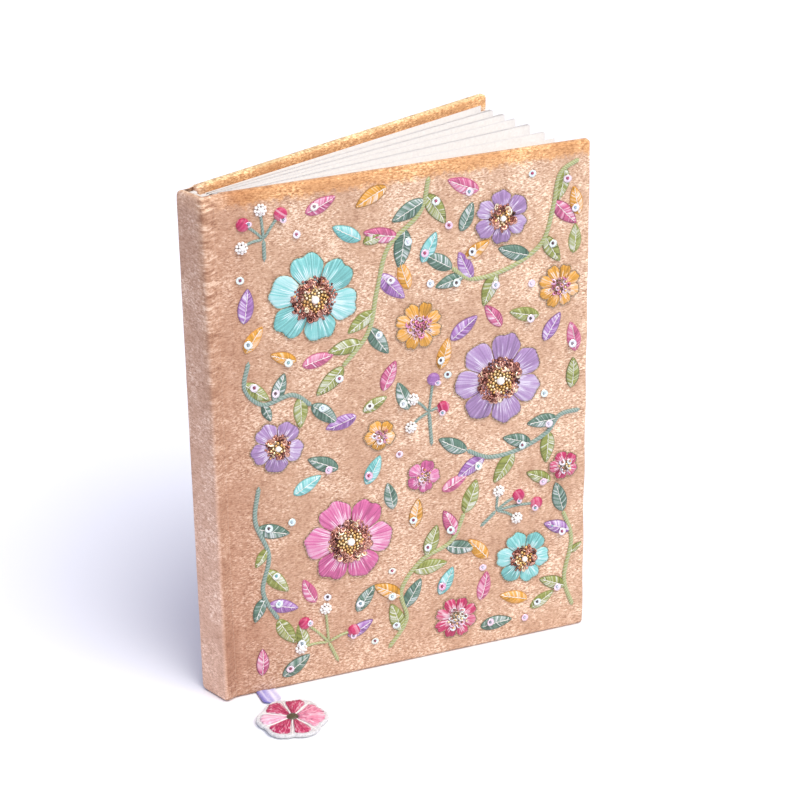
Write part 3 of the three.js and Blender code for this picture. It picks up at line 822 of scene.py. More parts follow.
# %% Measures of the covers
edge_radius = 1.5 * MM
velvet_thickness = 1.1 * MM
shell_thickness = 0.9 * velvet_thickness
broad_hill = (0.10 * MM, 22 * MM)  # height and length of the cloth's ripples
narrow_hill = (0.05 * MM, 7 * MM)
pull_depth = 0.16 * MM  # how far the stitches draw the cloth in, and how far that spreads
pull_spread = 2 * MM
face_fade = 0.8 * MM  # how deep from a face its ripples reach
rim_fade = 6 * MM  # and how far from a face's edges they fade
board_grid = (100, 2, 140)  # points across, through and up
flowers = [  # piece, across, up, radius, petals, turn in degrees, thread
    ("large_aqua_flower", 36, 169, 19.5, 6, 10, "aqua"),
    ("large_lilac_flower", 113, 121, 20.5, 7, 0, "lilac"),
    ("large_pink_flower", 48, 62, 20, 6, 25, "pink"),
    ("head_lilac_flower", 114, 190, 12, 6, 0, "lilac"),
    ("side_lilac_flower", 19, 109, 11.5, 5, 15, "lilac"),
    ("tail_aqua_flower", 124, 38, 12.5, 6, 20, "aqua"),
    ("middle_gold_flower", 79, 150, 10.5, 8, 0, "gold"),
    ("tail_crimson_flower", 94, 16, 10, 8, 0, "crimson"),
    ("edge_gold_flower", 139, 157, 9.5, 8, 0, "gold"),
    ("tiny_gold_flower", 62, 106, 6.8, 5, 10, "gold"),
    ("tiny_crimson_flower", 142, 77, 6.8, 5, 0, "crimson"),
    ("tiny_pink_flower", 80, 84, 7.5, 5, 30, "pink"),
]
print("flowers on the cover:", len(flowers))

# %% Rounded boxes


def spread(low, high, radius, count):
    """Places along one side of a box: three close together over each rounded end, at equal
    angles of its arc, and even between."""
    bends = radius * (1 - np.tan(np.radians([45, 30, 15])))
    middle = np.linspace(low + radius, high - radius, count)
    return np.concatenate([low + bends, middle, (high - bends)[::-1]])


def rounded_box(low, high, radius, counts):
    """Six grids on a box, drawn in to arcs at its edges and corners, as one closed skin. Each
    point goes to one radius from its nearest place on a box that is smaller by the radius."""
    ticks = [spread(low[k], high[k], radius, counts[k]) for k in range(3)]
    points, faces, used = [], [], 0
    for k in range(3):
        i, j = (k + 1) % 3, (k + 2) % 3
        a, b = np.meshgrid(ticks[i], ticks[j], indexing="ij")
        for side, flip in ((low[k], False), (high[k], True)):
            face = np.empty((*a.shape, 3))
            face[..., i], face[..., j], face[..., k] = a, b, side
            cells = grid_faces(*a.shape) + used
            points.append(face.reshape(-1, 3))
            faces.append(cells[:, ::-1] if flip else cells)
            used += a.size
    points, faces = np.concatenate(points), np.concatenate(faces)
    inner = np.clip(points, np.array(low) + radius, np.array(high) - radius)
    away = points - inner
    points = inner + radius * away / np.linalg.norm(away, axis=1)[:, None]
    points, faces = welded(points, faces)
    return points, outward(points, faces)


def shell(outer, inner):
    """A closed skin with a second one inside it, facing inwards."""
    points = np.concatenate([outer[0], inner[0]])
    return points, np.concatenate([outer[1], inner[1][:, ::-1] + len(outer[0])])


print("rounded boxes and shells ready")

# %% Covers


def drawn_down(x, z):
    """How far the stitches pull the cloth in, from 0 to 1: most in a ring at each rim, and
    fading with the square of the distance from it."""
    pull = np.zeros(len(x))
    for _, across, up, radius, *_ in flowers:
        away = np.hypot(x - front_low[0] - across * MM, z - up * MM) - radius * MM
        pull = np.maximum(pull, np.exp(-(away / pull_spread) ** 2))
    return pull


def covered_board(name, fold, low, high, face_side, node):
    """The velvet of one cover. Ripples and pulled places move its outer face, and fade
    towards its edges. The fore-edge has a slow wobble."""
    outer, faces = rounded_box(low, high, edge_radius, board_grid)
    x, y, z = outer.T
    face = low[1] if face_side < 0 else high[1]
    near = np.clip(1 - np.abs(y - face) / face_fade, 0, 1)
    rim = np.minimum.reduce([x - low[0], high[0] - x, z - low[2], high[2] - z])
    calm = near * np.clip(rim / rim_fade, 0, 1)
    hills = broad_hill[0] * ripple(x, z, broad_hill[1], 3)
    hills += narrow_hill[0] * ripple(x, z, narrow_hill[1], 4)
    if face_side < 0:
        hills -= pull_depth * drawn_down(x, z)
    outer[:, 1] += face_side * (hills - broad_hill[0]) * calm
    wobble = 0.12 * MM * ripple(x + y, z, 30 * MM, 5)
    outer[:, 0] += wobble * np.clip((x - low[0]) / (high[0] - low[0]) * 8 - 7, 0, 1)
    inner = rounded_box(
        np.array(low) + shell_thickness, np.array(high) - shell_thickness, 0.2 * MM, (2, 2, 2))
    points, faces = shell((outer, faces), inner)
    piece = make_piece(name, fold.stand(points), faces, velvet)
    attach(piece, fold.body)
    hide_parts(node)


tray = 4.25 * MM  # velvet, board and turn-in
front_slab = (front_low, np.array([front_high[0], front_low[1] + tray, front_high[2]]))
back_slab = (np.array([back_low[0], back_high[1] - tray, back_low[2]]), back_high)
covered_board("front_cover_velvet", front, *front_slab, -1, "front_velvet")
covered_board("back_cover_velvet", back, *back_slab, 1, "back_velvet")
print("covers", np.round((front_slab[1] - front_slab[0]) / MM, 1), "mm")

# %% Spine
spine_radius = 1.6 * MM
spine_grid = (2, 10, 140)
corner_height = 4 * MM  # of its rounded ends
corner_drop = 0.16  # how much narrower it is at their tips


def corner_rounding(height):
    """How rounded the spine is at a height: 0 in the middle, and along a quarter of a circle
    to nearly 1 at head and tail."""
    from_end = np.clip(np.minimum(height, book_height - height) / corner_height, 0, 1)
    return 1 - np.sqrt(1 - (1 - from_end) ** 2 * 0.999)


def spine_piece():
    """Velvet round the spine board, with full shoulders. Towards head and tail it grows
    narrower and sinks in, both by the rounding of its corners."""
    outer, faces = rounded_box(spine_low, spine_high, spine_radius, spine_grid)
    x, y, z = outer.T
    calm = np.clip(1 - (x - spine_low[0]) / face_fade, 0, 1)
    rounding = corner_rounding(z)
    outer[:, 1] *= 1 - corner_drop * rounding
    outer[:, 0] += (0.06 * ripple(y * 2, z, 16 * MM, 8) + 0.5 * rounding) * MM * calm
    inner_low = spine_low + shell_thickness
    inner_high = spine_high - np.array([0.05 * MM, shell_thickness, shell_thickness])
    inner = rounded_box(inner_low, inner_high, 0.02 * MM, (2, 2, 2))
    piece = make_piece("spine_cover_velvet", *shell((outer, faces), inner), velvet)
    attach(piece, "spine")
    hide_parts("spine_velvet")


spine_piece()
print("spine", np.round((spine_high - spine_low) / MM, 1), "mm")

# %% [markdown]
# ## The cloth of the joints
#
# Between the spine and each board the velvet dips into a shallow groove and folds when the
# cover opens. Seen from above, its outer line is a cubic curve from the shoulder of the spine
# to the face of the cover, level with both at its ends. At the front there are two folds, so
# there are two strips that meet between them. Both ends thin out to nothing, so the cloth
# seems to run on.

# %% Lines of the joints
strip_thickness = 1.0 * MM
overlap_spine = 1.7 * MM
overlap_cover = 3.2 * MM
proud = 0.06 * MM
front_groove = 0.45 * MM
back_groove = 0.9 * MM
groove_way = np.array([3.0 * MM, 0.1 * MM])  # how the line crosses the bottom of a groove
probe = 10 * MM  # a step along a cover that tells its heading


def curve_between(a, a_way, b, b_way, count):
    """A cubic curve from a to b that leaves along a_way and arrives along b_way."""
    t = np.linspace(0, 1, count)[:, None]
    return ((2 * t**3 - 3 * t**2 + 1) * a + (t**3 - 2 * t**2 + t) * a_way
            + (3 * t**2 - 2 * t**3) * b + (t**3 - t**2) * b_way)


def joint_line(side):
    """The outer line of a joint in plan: it starts over the shoulder, sinks into the groove
    and rises to the cover's face."""
    if side < 0:
        fold, face, depth = front, cover_face, front_groove
    else:
        fold, face, depth = back, float(back_high[1]), back_groove
    start = np.array([spine_high[0] - overlap_spine, face + side * proud])
    low = np.array([(spine_high[0] + front_low[0]) / 2, face - side * depth])
    end = np.array([front_low[0] + overlap_cover, face + side * proud, 0.0])
    ahead = fold.stand(end + [probe, 0, 0])
    end = fold.stand(end)
    end_way = (ahead - end)[:2] / probe * 4.5 * MM
    low_way = groove_way * [1, side]
    first = curve_between(start, np.array([3.2 * MM, 0]), low, low_way, 14)
    second = curve_between(low, low_way, end[:2], end_way, 18)
    return first, second


print("at the front a joint's line has", sum(map(len, joint_line(-1))), "points")

# %% Joints


def joint_strip(name, line, side, thin_start, thin_end, bodies, start, end, node=None):
    """A strip of cloth of this outer line, over the height of the book. The inner line lies
    inside it by the thickness, which fades at thin ends. At head and tail the section is drawn
    in along an arc, as the covers are, and beside the spine it follows the spine's rounding."""
    along = np.gradient(line, axis=0)
    normal = np.stack([along[:, 1], -along[:, 0]], -1) * -side
    normal /= np.linalg.norm(normal, axis=1)[:, None]
    share = np.linspace(0, 1, len(line))
    thick = np.full(len(line), strip_thickness)
    if thin_start:
        thick *= np.clip(share / 0.35, 0.04, 1)
    if thin_end:
        thick *= np.clip((1 - share) / 0.6, 0.04, 1)
    inner = line - normal * thick[:, None]
    halfway = (line + inner) / 2
    section = np.concatenate([line, inner[::-1]])
    middle = np.concatenate([halfway, halfway[::-1]])
    outwards = np.concatenate([normal, normal[::-1]])
    heights = spread(0.0, book_height, edge_radius, 130)
    past = np.clip(edge_radius - np.minimum(heights, book_height - heights), 0, None)
    drop = edge_radius - np.sqrt(np.clip(edge_radius**2 - past**2, 0, None))
    pull = (drop / edge_radius)[:, None, None]
    plan = section[None] * (1 - 0.5 * pull) + middle[None] * 0.5 * pull
    plan -= outwards[None] * drop[:, None, None]
    ripples = 0.05 * MM * ripple(heights, heights * 0.3, 9 * MM, 12)
    on_outer_line = (np.arange(len(section)) < len(line))[None]
    plan[..., 1] += side * ripples[:, None] * on_outer_line
    beside_spine = np.concatenate([share, share[::-1]]) if thin_start else np.ones(len(section))
    beside_spine = np.clip(1 - beside_spine * (2.2 if thin_end else 1.1), 0, 1)
    corner = corner_drop * spine_high[1] * corner_rounding(heights)
    plan[..., 1] -= side * corner[:, None] * beside_spine[None]
    tall = np.broadcast_to(heights[:, None], plan.shape[:2])
    points, faces = ring_skin(np.concatenate([plan, tall[..., None]], -1))
    piece = make_piece(name, points, outward(points, faces), velvet)
    if node:
        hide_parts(node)
    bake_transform(piece)


def bend_zone(x, before, after):
    """Two places on the line of X, so many millimetres before and after x."""
    return (x - before * MM, 0, 0), (x + after * MM, 0, 0)


first, second = joint_line(-1)
joint_strip(
    "front_joint_velvet_spine", first, -1, True, False, ("spine", "front_joint"),
    *bend_zone(joint_at_spine[0], 0.9, 0.9), "front_joint_cloth")
joint_strip(
    "front_joint_velvet_cover", second, -1, False, True, ("front_joint", "front_cover"),
    *bend_zone(front.pivot[0], 1.2, 1.6))
first, second = joint_line(1)
joint_strip(
    "back_joint_velvet", np.concatenate([first, second[1:]]), 1, True, True,
    ("spine", "back_cover"), *bend_zone(back.pivot[0], 2.0, 1.6), "back_joint_cloth")
print("joints dressed")

# %% [markdown]
# ## Paper in the hinges
#
# Beside the backs of the sections, the gauze and the endpapers run over to the boards and fill
# the space behind each groove. Only their ends show, at the head and the tail.

# %% Hinge paper
paper_gap = 0.05 * MM


def hinge_paper(name, joint_cloth, side):
    """A soft slab between the backs and the cloth of a joint, as tall as the leaves."""
    backs_low, backs_high = (np.array(p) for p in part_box("sewn_backs"))
    cloth_low, cloth_high = (np.array(p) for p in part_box(joint_cloth))
    near, far = (backs_low[1], cloth_high[1]) if side < 0 else (backs_high[1], cloth_low[1])
    top = float(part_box("headband")[1][2])
    low = np.array([backs_low[0], min(near, far), backs_low[2]])
    high = np.array([cloth_high[0], max(near, far), top])
    points, faces = rounded_box(low + paper_gap, high - paper_gap, 0.5 * MM, (4, 4, 4))
    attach(make_piece(name, points, faces, paper), "spine")


hinge_paper("front_hinge_paper", "front_joint_cloth", -1)
hinge_paper("back_hinge_paper", "back_joint_cloth", 1)
print("hinges lined")

# %% [markdown]
# ## Leaves
#
# Each section is four folded sheets, so eight leaves. A leaf is a thin sheet that leaves the
# gutter square to the spine and then bends to its own heading, which a curve with a soft start
# does well. The leaves of a section spread a little towards the fore-edge. A group of sections
# stands at the angle of its own body, and over the first millimetres the turn grows from
# nothing, so the roots stay sewn.

# %% Leaf sheets
leaf_thickness = 0.1 * MM
leaf_rows = 26
leaf_cols = 5
leaves_in_section = 8
root_length = 5 * MM
root_share = 0.35  # how far apart the roots are, against the leaves' own places


def leaf_sheet(x0, x1, z0, z1, y_root, y_edge, bow, seed):
    """A sheet from the gutter to the fore-edge. Seen from above, its line goes from y_root to
    y_edge along a curve that is level at both ends of the root, with a sine's bow between. Up
    its height it has a slight wave, which grows with the square of the way out."""
    share = np.linspace(0, 1, leaf_rows) ** 1.5
    x = x0 + (x1 - x0) * share
    z = np.linspace(z0, z1, leaf_cols)
    rise = np.clip((x - x0) / root_length, 0, 1)
    y = y_root + (y_edge - y_root) * rise * rise * (3 - 2 * rise)
    y = y + bow * np.sin(math.pi * share)
    wave = 0.12 * MM * share[:, None] ** 2 * np.sin(z[None] * 14 + seed)
    middle = np.stack([
        np.broadcast_to(x[:, None], (leaf_rows, leaf_cols)),
        y[:, None] + wave,
        np.broadcast_to(z[None], (leaf_rows, leaf_cols)),
    ], -1)
    shift = np.array([0, leaf_thickness / 2, 0])
    sides = np.concatenate([middle - shift, (middle + shift)[:, ::-1]], axis=1)
    points, faces = ring_skin(sides)
    return points, outward(points, faces), np.zeros(len(points))


def sewn_piece(name, node, fold, points, faces):
    """Leaves that stay sewn at the gutter: over the length of the root, their turn grows from
    nothing, in the shape."""
    piece = make_piece(name, fold.bend(points, root_length), faces, paper)
    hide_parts(node)
    root_end = fold.stand(fold.pivot + np.array([root_length, 0, 0]))
    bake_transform(piece)


print("a leaf bends over its first", root_length / MM, "mm")

# %% Leaves


def leaf_group(body, nodes):
    """All leaves of one body, each section as one piece that bends at its root."""
    fold = Fold(body, nodes[0])
    for node in nodes:
        low, high = fold.closed_box(node)
        number = int(node.split("_")[1])
        spots = np.linspace(low[1] + 0.04 * MM, high[1] - 0.04 * MM, leaves_in_section)
        parts = []
        for k, y in enumerate(spots):
            fan = (k - (leaves_in_section - 1) / 2) / (leaves_in_section - 1)
            bow = 0.075 * MM * math.sin(number * 2.1 + k * 0.5)
            root = fold.pivot[1] + (y - fold.pivot[1]) * root_share
            parts.append(leaf_sheet(
                low[0], high[0] - 0.25 * MM * (k % 3), low[2], high[2],
                root, y + fan * 0.5 * MM, bow, number + k * 0.7))
        points, faces, _ = joined(parts)
        sewn_piece(f"leaves_of_section_{number}", node, fold, points, faces)


def flyleaf(node):
    """A single heavier leaf next to a cover, with a body of its own of the same name."""
    fold = Fold(node, node)
    low, high = fold.closed_box(node)
    y = (low[1] + high[1]) / 2
    points, faces, _ = leaf_sheet(low[0], high[0], low[2], high[2], y, y, 0.0, 1.0)
    sewn_piece(f"{node}_sheet", node, fold, points, faces)


for body, nodes in frame["record"]["behaviour"]["bodies"].items():
    if body.startswith("leaves_"):
        leaf_group(body, nodes)
flyleaf("front_flyleaf")
flyleaf("back_flyleaf")
print("leaves fanned")

# %% [markdown]
# ## The embroidery's field
#
# Embroidery is drawn flat. Its field has three measures in millimetres: across the cover from
# the spine side, up from the tail, and out from the cloth. One function carries a drawn shape
# to the cover where it stands, so every motif can be thought of on paper. A satin stitch is a
# fold of parallel threads laid over a shape, so its surface is a grid with one low ridge for
# each thread, and a shade for each thread.

# %% Drawing on the cover
cloth_level = -0.15  # how far a stitched shape reaches into the pile
rng = np.random.default_rng(17)
field = np.array([front_high[0] - front_low[0], book_height]) / MM
print("the field is", np.round(field), "mm")


def on_cover(points):
    """Across, up and out, in millimetres, to the place on the standing cover."""
    across, up, out = (points[..., k] * MM for k in range(3))
    return front.stand(np.stack([front_low[0] + across, cover_face - out, up], -1))


def relief(across, up, out, shade):
    """A raised shape over a grid, with walls down into the cloth and a flat base."""
    across, up, shade = (np.pad(a, 1, mode="edge") for a in (across, up, shade))
    out = np.pad(out, 1, constant_values=cloth_level)
    points, faces = ring_skin(np.stack([across, up, out], -1))
    points, faces, shade = welded(points, faces, shade.reshape(-1))
    return points, outward(points, faces), shade


def laid_cord(path, radius, shade, sides=5, closed=False):
    """A thread along a path on the cloth: a ring of points round every point of the path,
    from its sideways direction and straight out."""
    path = np.asarray(path, float)
    if closed:
        path = np.concatenate([path[-1:], path, path[:2]])
    along = np.gradient(path, axis=0)
    side = np.stack([-along[:, 1], along[:, 0], np.zeros(len(path))], -1)
    side /= np.linalg.norm(side, axis=1)[:, None] + 1e-9
    shade = np.broadcast_to(shade, len(path) - (3 if closed else 0))
    radius = np.broadcast_to(radius, len(path))
    if closed:
        path, side, radius = path[1:-1], side[1:-1], radius[1:-1]
        shade = np.append(shade, shade[0])
    turn = np.linspace(0, 2 * math.pi, sides, endpoint=False)
    round_part = radius[:, None, None] * (
        side[:, None] * np.cos(turn)[:, None] + np.array([0, 0, 1.0]) * np.sin(turn)[:, None])
    points, faces = ring_skin(path[:, None] + round_part)
    tone = np.repeat(shade, sides)
    if closed:
        faces = grid_faces(len(path), sides, ring=True)
        points, faces, tone = welded(points, faces, tone)
    return points, outward(points, faces), tone


def stitched_piece(name, parts, node=None):
    """Parts of (thread or finish, (points, faces, shade)) as one piece on the front cover,
    whose faces keep their own finish."""
    finishes = list(dict.fromkeys(finish.name for finish, _ in parts))
    points, faces, shade = joined([part for _, part in parts])
    index = np.concatenate([
        np.full(len(part[1]), finishes.index(finish.name)) for finish, part in parts])
    piece = make_piece(
        name, on_cover(points), faces, [bpy.data.materials[f] for f in finishes], shade, index)
    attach(piece, "front_cover")
    if node:
        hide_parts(node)


# %% [markdown]
# ## Beads and sequins
#
# There are hundreds of these, so each is one small template that is copied by adding a place
# to all its points at once. A bead is a sphere of a few faces, and a sequin is a shallow cup
# with a hole. In a flower's middle the sequins stand at all angles, which makes them sparkle,
# so each copy is turned about a random level axis.

# %% Bead and sequin helpers


def revolved(profile, sides, closed):
    """A profile of (radius, height) turned about the upright axis; a closed one ends where it
    begins."""
    profile = np.array(profile, float)
    turn = np.linspace(0, 2 * math.pi, sides, endpoint=False)
    points = np.stack([
        profile[:, :1] * np.cos(turn), profile[:, :1] * np.sin(turn),
        np.repeat(profile[:, 1:], sides, axis=1)], -1)
    rows = len(profile)
    if closed:
        points = np.concatenate([points, points[:1]])
        rows += 1
    points = points.reshape(-1, 3)
    points, faces = welded(points, grid_faces(rows, sides, ring=True))
    return points, outward(points, faces)


def bead_template(sides, rings):
    """A ball of radius 1, as a half circle of rings turned about the upright axis."""
    lift = np.linspace(-math.pi / 2, math.pi / 2, rings + 1)
    return revolved(np.stack([np.cos(lift), np.sin(lift)], -1), sides, False)


bead = bead_template(8, 4)
pearl = bead_template(14, 8)
sequin = revolved([(0.22, 0.02), (1.0, 0.26), (1.0, 0.19), (0.22, -0.05)], 12, True)


def scattered(template, places, sizes, shades, tilt=0.0):
    """Copies of a template at places, each tilted about a random level axis. A turned point
    is a sum of three: the point times the cosine, its cross product with the axis times the
    sine, and its part along the axis times one less the cosine."""
    base, faces = template
    places = np.atleast_2d(places).astype(float)
    count = len(places)
    sizes, shades = np.broadcast_to(sizes, count), np.broadcast_to(shades, count)
    heading = rng.uniform(0, 2 * math.pi, count)
    angle = rng.uniform(0.3, 1.0, count) * tilt
    axis = np.stack([np.cos(heading), np.sin(heading), np.zeros(count)], -1)
    c, s = np.cos(angle)[:, None, None], np.sin(angle)[:, None, None]
    spun = np.cross(axis[:, None], base[None])
    along = (axis @ base.T)[..., None] * axis[:, None]
    points = base[None] * c + spun * s + along * (1 - c)
    points = points * sizes[:, None, None] + places[:, None]
    starts = np.arange(count)[:, None, None] * len(base)
    return (points.reshape(-1, 3), (faces[None] + starts).reshape(-1, 3),
            np.repeat(shades, len(base)))


print("a bead has", len(bead[1]), "triangles and a sequin", len(sequin[1]))

# %% Finishes of beads and sequins


def bead_material(name, stops, **sockets):
    """Small hard pieces whose colour runs over the given stops with their shade."""
    material, tree, shader = new_material(name, **sockets)
    tree.links.new(ramp(tree, mesh_shade(tree), stops), shader.inputs["Base Color"])
    return material


metal_beads = bead_material(
    "metal_beads", [
        (0.0, (0.09, 0.035, 0.03)), (0.28, (0.42, 0.17, 0.13)), (0.5, (0.74, 0.42, 0.32)),
        (0.62, (0.66, 0.38, 0.12)), (0.82, (0.88, 0.62, 0.25)), (1.0, (0.97, 0.88, 0.68))],
    Metallic=0.75, Roughness=0.26)
glass_beads = bead_material(
    "glass_beads", [
        (0.0, (0.03, 0.02, 0.02)), (0.35, (0.45, 0.03, 0.11)), (0.6, (0.12, 0.35, 0.36)),
        (1.0, (0.75, 0.7, 0.8))],
    Roughness=0.12, Coat_Weight=0.6, Coat_Roughness=0.05)
pearls = bead_material(
    "pearls", [(0.0, (0.86, 0.80, 0.72)), (1.0, (0.96, 0.93, 0.88))],
    Roughness=0.18, Coat_Weight=0.7, Coat_Roughness=0.08, Sheen_Weight=0.2)
sequins = bead_material(
    "sequins", [
        (0.0, (0.80, 0.26, 0.48)), (0.35, (0.93, 0.66, 0.78)), (0.6, (0.94, 0.94, 0.96)),
        (0.85, (0.80, 0.95, 0.90)), (1.0, (0.97, 0.95, 0.82))],
    Metallic=0.35, Roughness=0.16, Coat_Weight=0.8, Coat_Roughness=0.04)
print("beads, pearls and sequins have their finishes")

# %% [markdown]
# ## Stitched leaves
#
# A leaf has two halves of slanted stitches that meet at the midrib, a fine outline, and a pale
# thread on the rib. Along the leaf there are two rows of points for each stitch, one on its
# back and one in the dip beside it. Across it, the height is half an ellipse with a groove at
# the rib.

# %% Leaf helpers
stitch_rise = 0.85
rib_dip = 0.3
leaf_share = 0.42  # its width against its length
leaf_stitches = 2.2  # for each millimetre of its length
outline_points = 22
rib_points = 15


def thread_tones(count, spread_out, pale_share):
    """A tone for each thread, given twice for its back and its dip; some threads are pale."""
    tones = rng.normal(0, spread_out, count)
    tones += np.where(rng.random(count) < pale_share, 0.35, 0.0)
    return np.repeat(tones, 2)


def leaf_half_width(share, length):
    """Half the width at a share of the length: a sine that is fullest before the middle."""
    return length * leaf_share / 2 * np.sin(math.pi * np.clip(share, 0, 1) ** 0.82) ** 0.8


def placed(points, start, angle, bend, length):
    """A leaf drawn along its own axis, bent sideways and moved to its place."""
    x, y = points[..., 0], points[..., 1] + bend * points[..., 0] ** 2 / length
    moved = np.array(points, float)
    moved[..., 0] = start[0] + x * math.cos(angle) - y * math.sin(angle)
    moved[..., 1] = start[1] + x * math.sin(angle) + y * math.cos(angle)
    return moved


def leaf_body(stitches, length):
    """Both halves of a leaf, drawn along its own axis. Its stitches slant, because a place
    further from the rib lies further along, and one half catches more light."""
    rows = 2 * stitches + 1
    s = np.array([-1, -0.82, -0.5, -0.22, 0, 0.22, 0.5, 0.82, 1.0])[None]
    p = np.linspace(0.0, 1.0, rows)[:, None]
    share = np.clip(p + 0.13 * np.abs(s) * np.sin(math.pi * p), 0, 1)
    x = share * length
    y = s * leaf_half_width(share, length)
    full = np.sin(math.pi * np.clip(p, 0.02, 0.98) ** 0.8) ** 0.5
    ridge = 0.09 * (np.arange(rows) % 2)[:, None] * (1 - np.abs(s) ** 6)
    body = stitch_rise * np.sqrt(1 - 0.93 * s**2) - rib_dip * np.exp(-(s / 0.16) ** 2)
    out = np.broadcast_to(body * (0.35 + 0.65 * full) + ridge, y.shape)
    lit_side = 1 if rng.random() < 0.5 else -1
    left, right = (thread_tones(stitches + 1, 0.15, 0.16)[:rows, None] for _ in range(2))
    shade = 0.4 + np.where(s > 0, left, right) + 0.12 * lit_side * np.sign(s) + 0.08 * np.abs(s)
    return relief(x, y, out, shade)


def leaf_outline(length):
    """A closed path round the leaf, along one side and back along the other."""
    one_way = np.linspace(0, 1, outline_points)
    way = np.concatenate([one_way, one_way[-2:0:-1]])
    side = np.concatenate([np.ones(outline_points), -np.ones(outline_points - 2)])
    across = side * (leaf_half_width(way, length) + 0.12)
    return np.stack([way * length, across, np.full(len(way), 0.12)], -1)


def leaf_rib(length):
    """The pale thread in the groove: a line that wavers a little and dips at both ends."""
    along = np.linspace(0.02, 0.93, rib_points)
    rise = 0.62 + 0.1 * np.sin(along * 50)
    rise[[0, -1]] = 0.2
    return np.stack([along * length, 0.12 * np.sin(along * 40), rise], -1)


print("a leaf has", len(leaf_outline(1.0)), "points round its outline")

# %% Whole leaves


def held_sequin(spot, tone, size=1.7):
    """A cupped sequin with a seed bead in its middle, which holds it to the cloth."""
    spot = np.array(spot, float)
    return [
        (sequins, scattered(sequin, spot, size, tone, 0.25)),
        (glass_beads, scattered(bead, spot + [0, 0, 0.3], 0.55, rng.uniform(0, 1))),
    ]


def stitched_leaf(finish, start, angle, length, with_sequin=None):
    """The parts of one leaf: halves, outline, rib, and perhaps a sequin held by a bead."""
    bend = rng.uniform(-0.12, 0.12)
    axis = (start, angle, bend, length)
    stitches = max(9, round(length * leaf_stitches))
    points, faces, tone = leaf_body(stitches, length)
    parts = [(finish, (placed(points, *axis), faces, tone))]
    outline = placed(leaf_outline(length), *axis)
    parts.append((finish, laid_cord(outline, 0.18, rng.uniform(0, 0.5), 4, closed=True)))
    rib = placed(leaf_rib(length), *axis)
    tones = rng.uniform(0.2, 0.8, rib_points)
    parts.append((thread["cream"], laid_cord(rib, 0.19, tones, 4)))
    if with_sequin is not None:
        spot = placed(np.array([[length * 0.3, length * 0.1, 1.0]]), *axis)
        parts += held_sequin(spot[0], with_sequin)
    return parts


print("leaves can be stitched")

# %% [markdown]
# ## Sprigs
#
# A sprig is a stem in stem stitch with leaves on both sides. Its line is a smooth curve
# through a few chosen points: between two of them, each place is a cubic mix of the four
# nearest. Stem stitch looks like a twisted rope laid flat, so the low ridges run slantwise.

# %% Stems
row_length = 0.3
twist_length = 1.3


def smooth_line(points, count):
    """A curve through the points, as a cubic mix of the four nearest ones."""
    p = np.array(points, float)
    p = np.concatenate([[2 * p[0] - p[1]], p, [2 * p[-1] - p[-2]]])
    t = np.linspace(0, len(points) - 1 - 1e-9, count)
    k = t.astype(int)
    f = (t - k)[:, None]
    a, b, c, d = p[k], p[k + 1], p[k + 2], p[k + 3]
    return 0.5 * (2 * b + (c - a) * f + (2 * a - 5 * b + 4 * c - d) * f**2
                  + (3 * b - a - 3 * c + d) * f**3)


def stem(finish, points, width=1.8, rise=0.8):
    """A flat twisted rope along the smooth line. Its ridges are a sine of the way along plus
    half the place across, so they slant, and its ends are drawn in."""
    rough = smooth_line(points, 60)
    length = np.linalg.norm(np.diff(rough, axis=0), axis=1).sum()
    rows = int(length / row_length)
    line = smooth_line(points, rows)
    along = np.gradient(line, axis=0)
    side = np.stack([-along[:, 1], along[:, 0]], -1)
    side /= np.linalg.norm(side, axis=1)[:, None]
    s = np.array([-1, -0.7, -0.3, 0.05, 0.3, 0.7, 1.0])
    run = np.linspace(0, length, rows)[:, None]
    twist = np.abs(np.sin(math.pi * (run / twist_length + 0.5 * s)))
    ends = np.clip(np.minimum(run, length - run) / 1.2, 0.3, 1)
    across = line[:, 0:1] + side[:, 0:1] * s * width / 2 * ends
    up = line[:, 1:2] + side[:, 1:2] * s * width / 2 * ends
    out = (rise * np.sqrt(1 - 0.9 * s**2) * (0.78 + 0.26 * twist)) * ends
    # painted light and shade: the ridges of the twist are paler and the dips between them darker
    shade = 0.36 + 0.34 * twist
    return finish, relief(across, up, out, shade)


print("stems can be stitched")

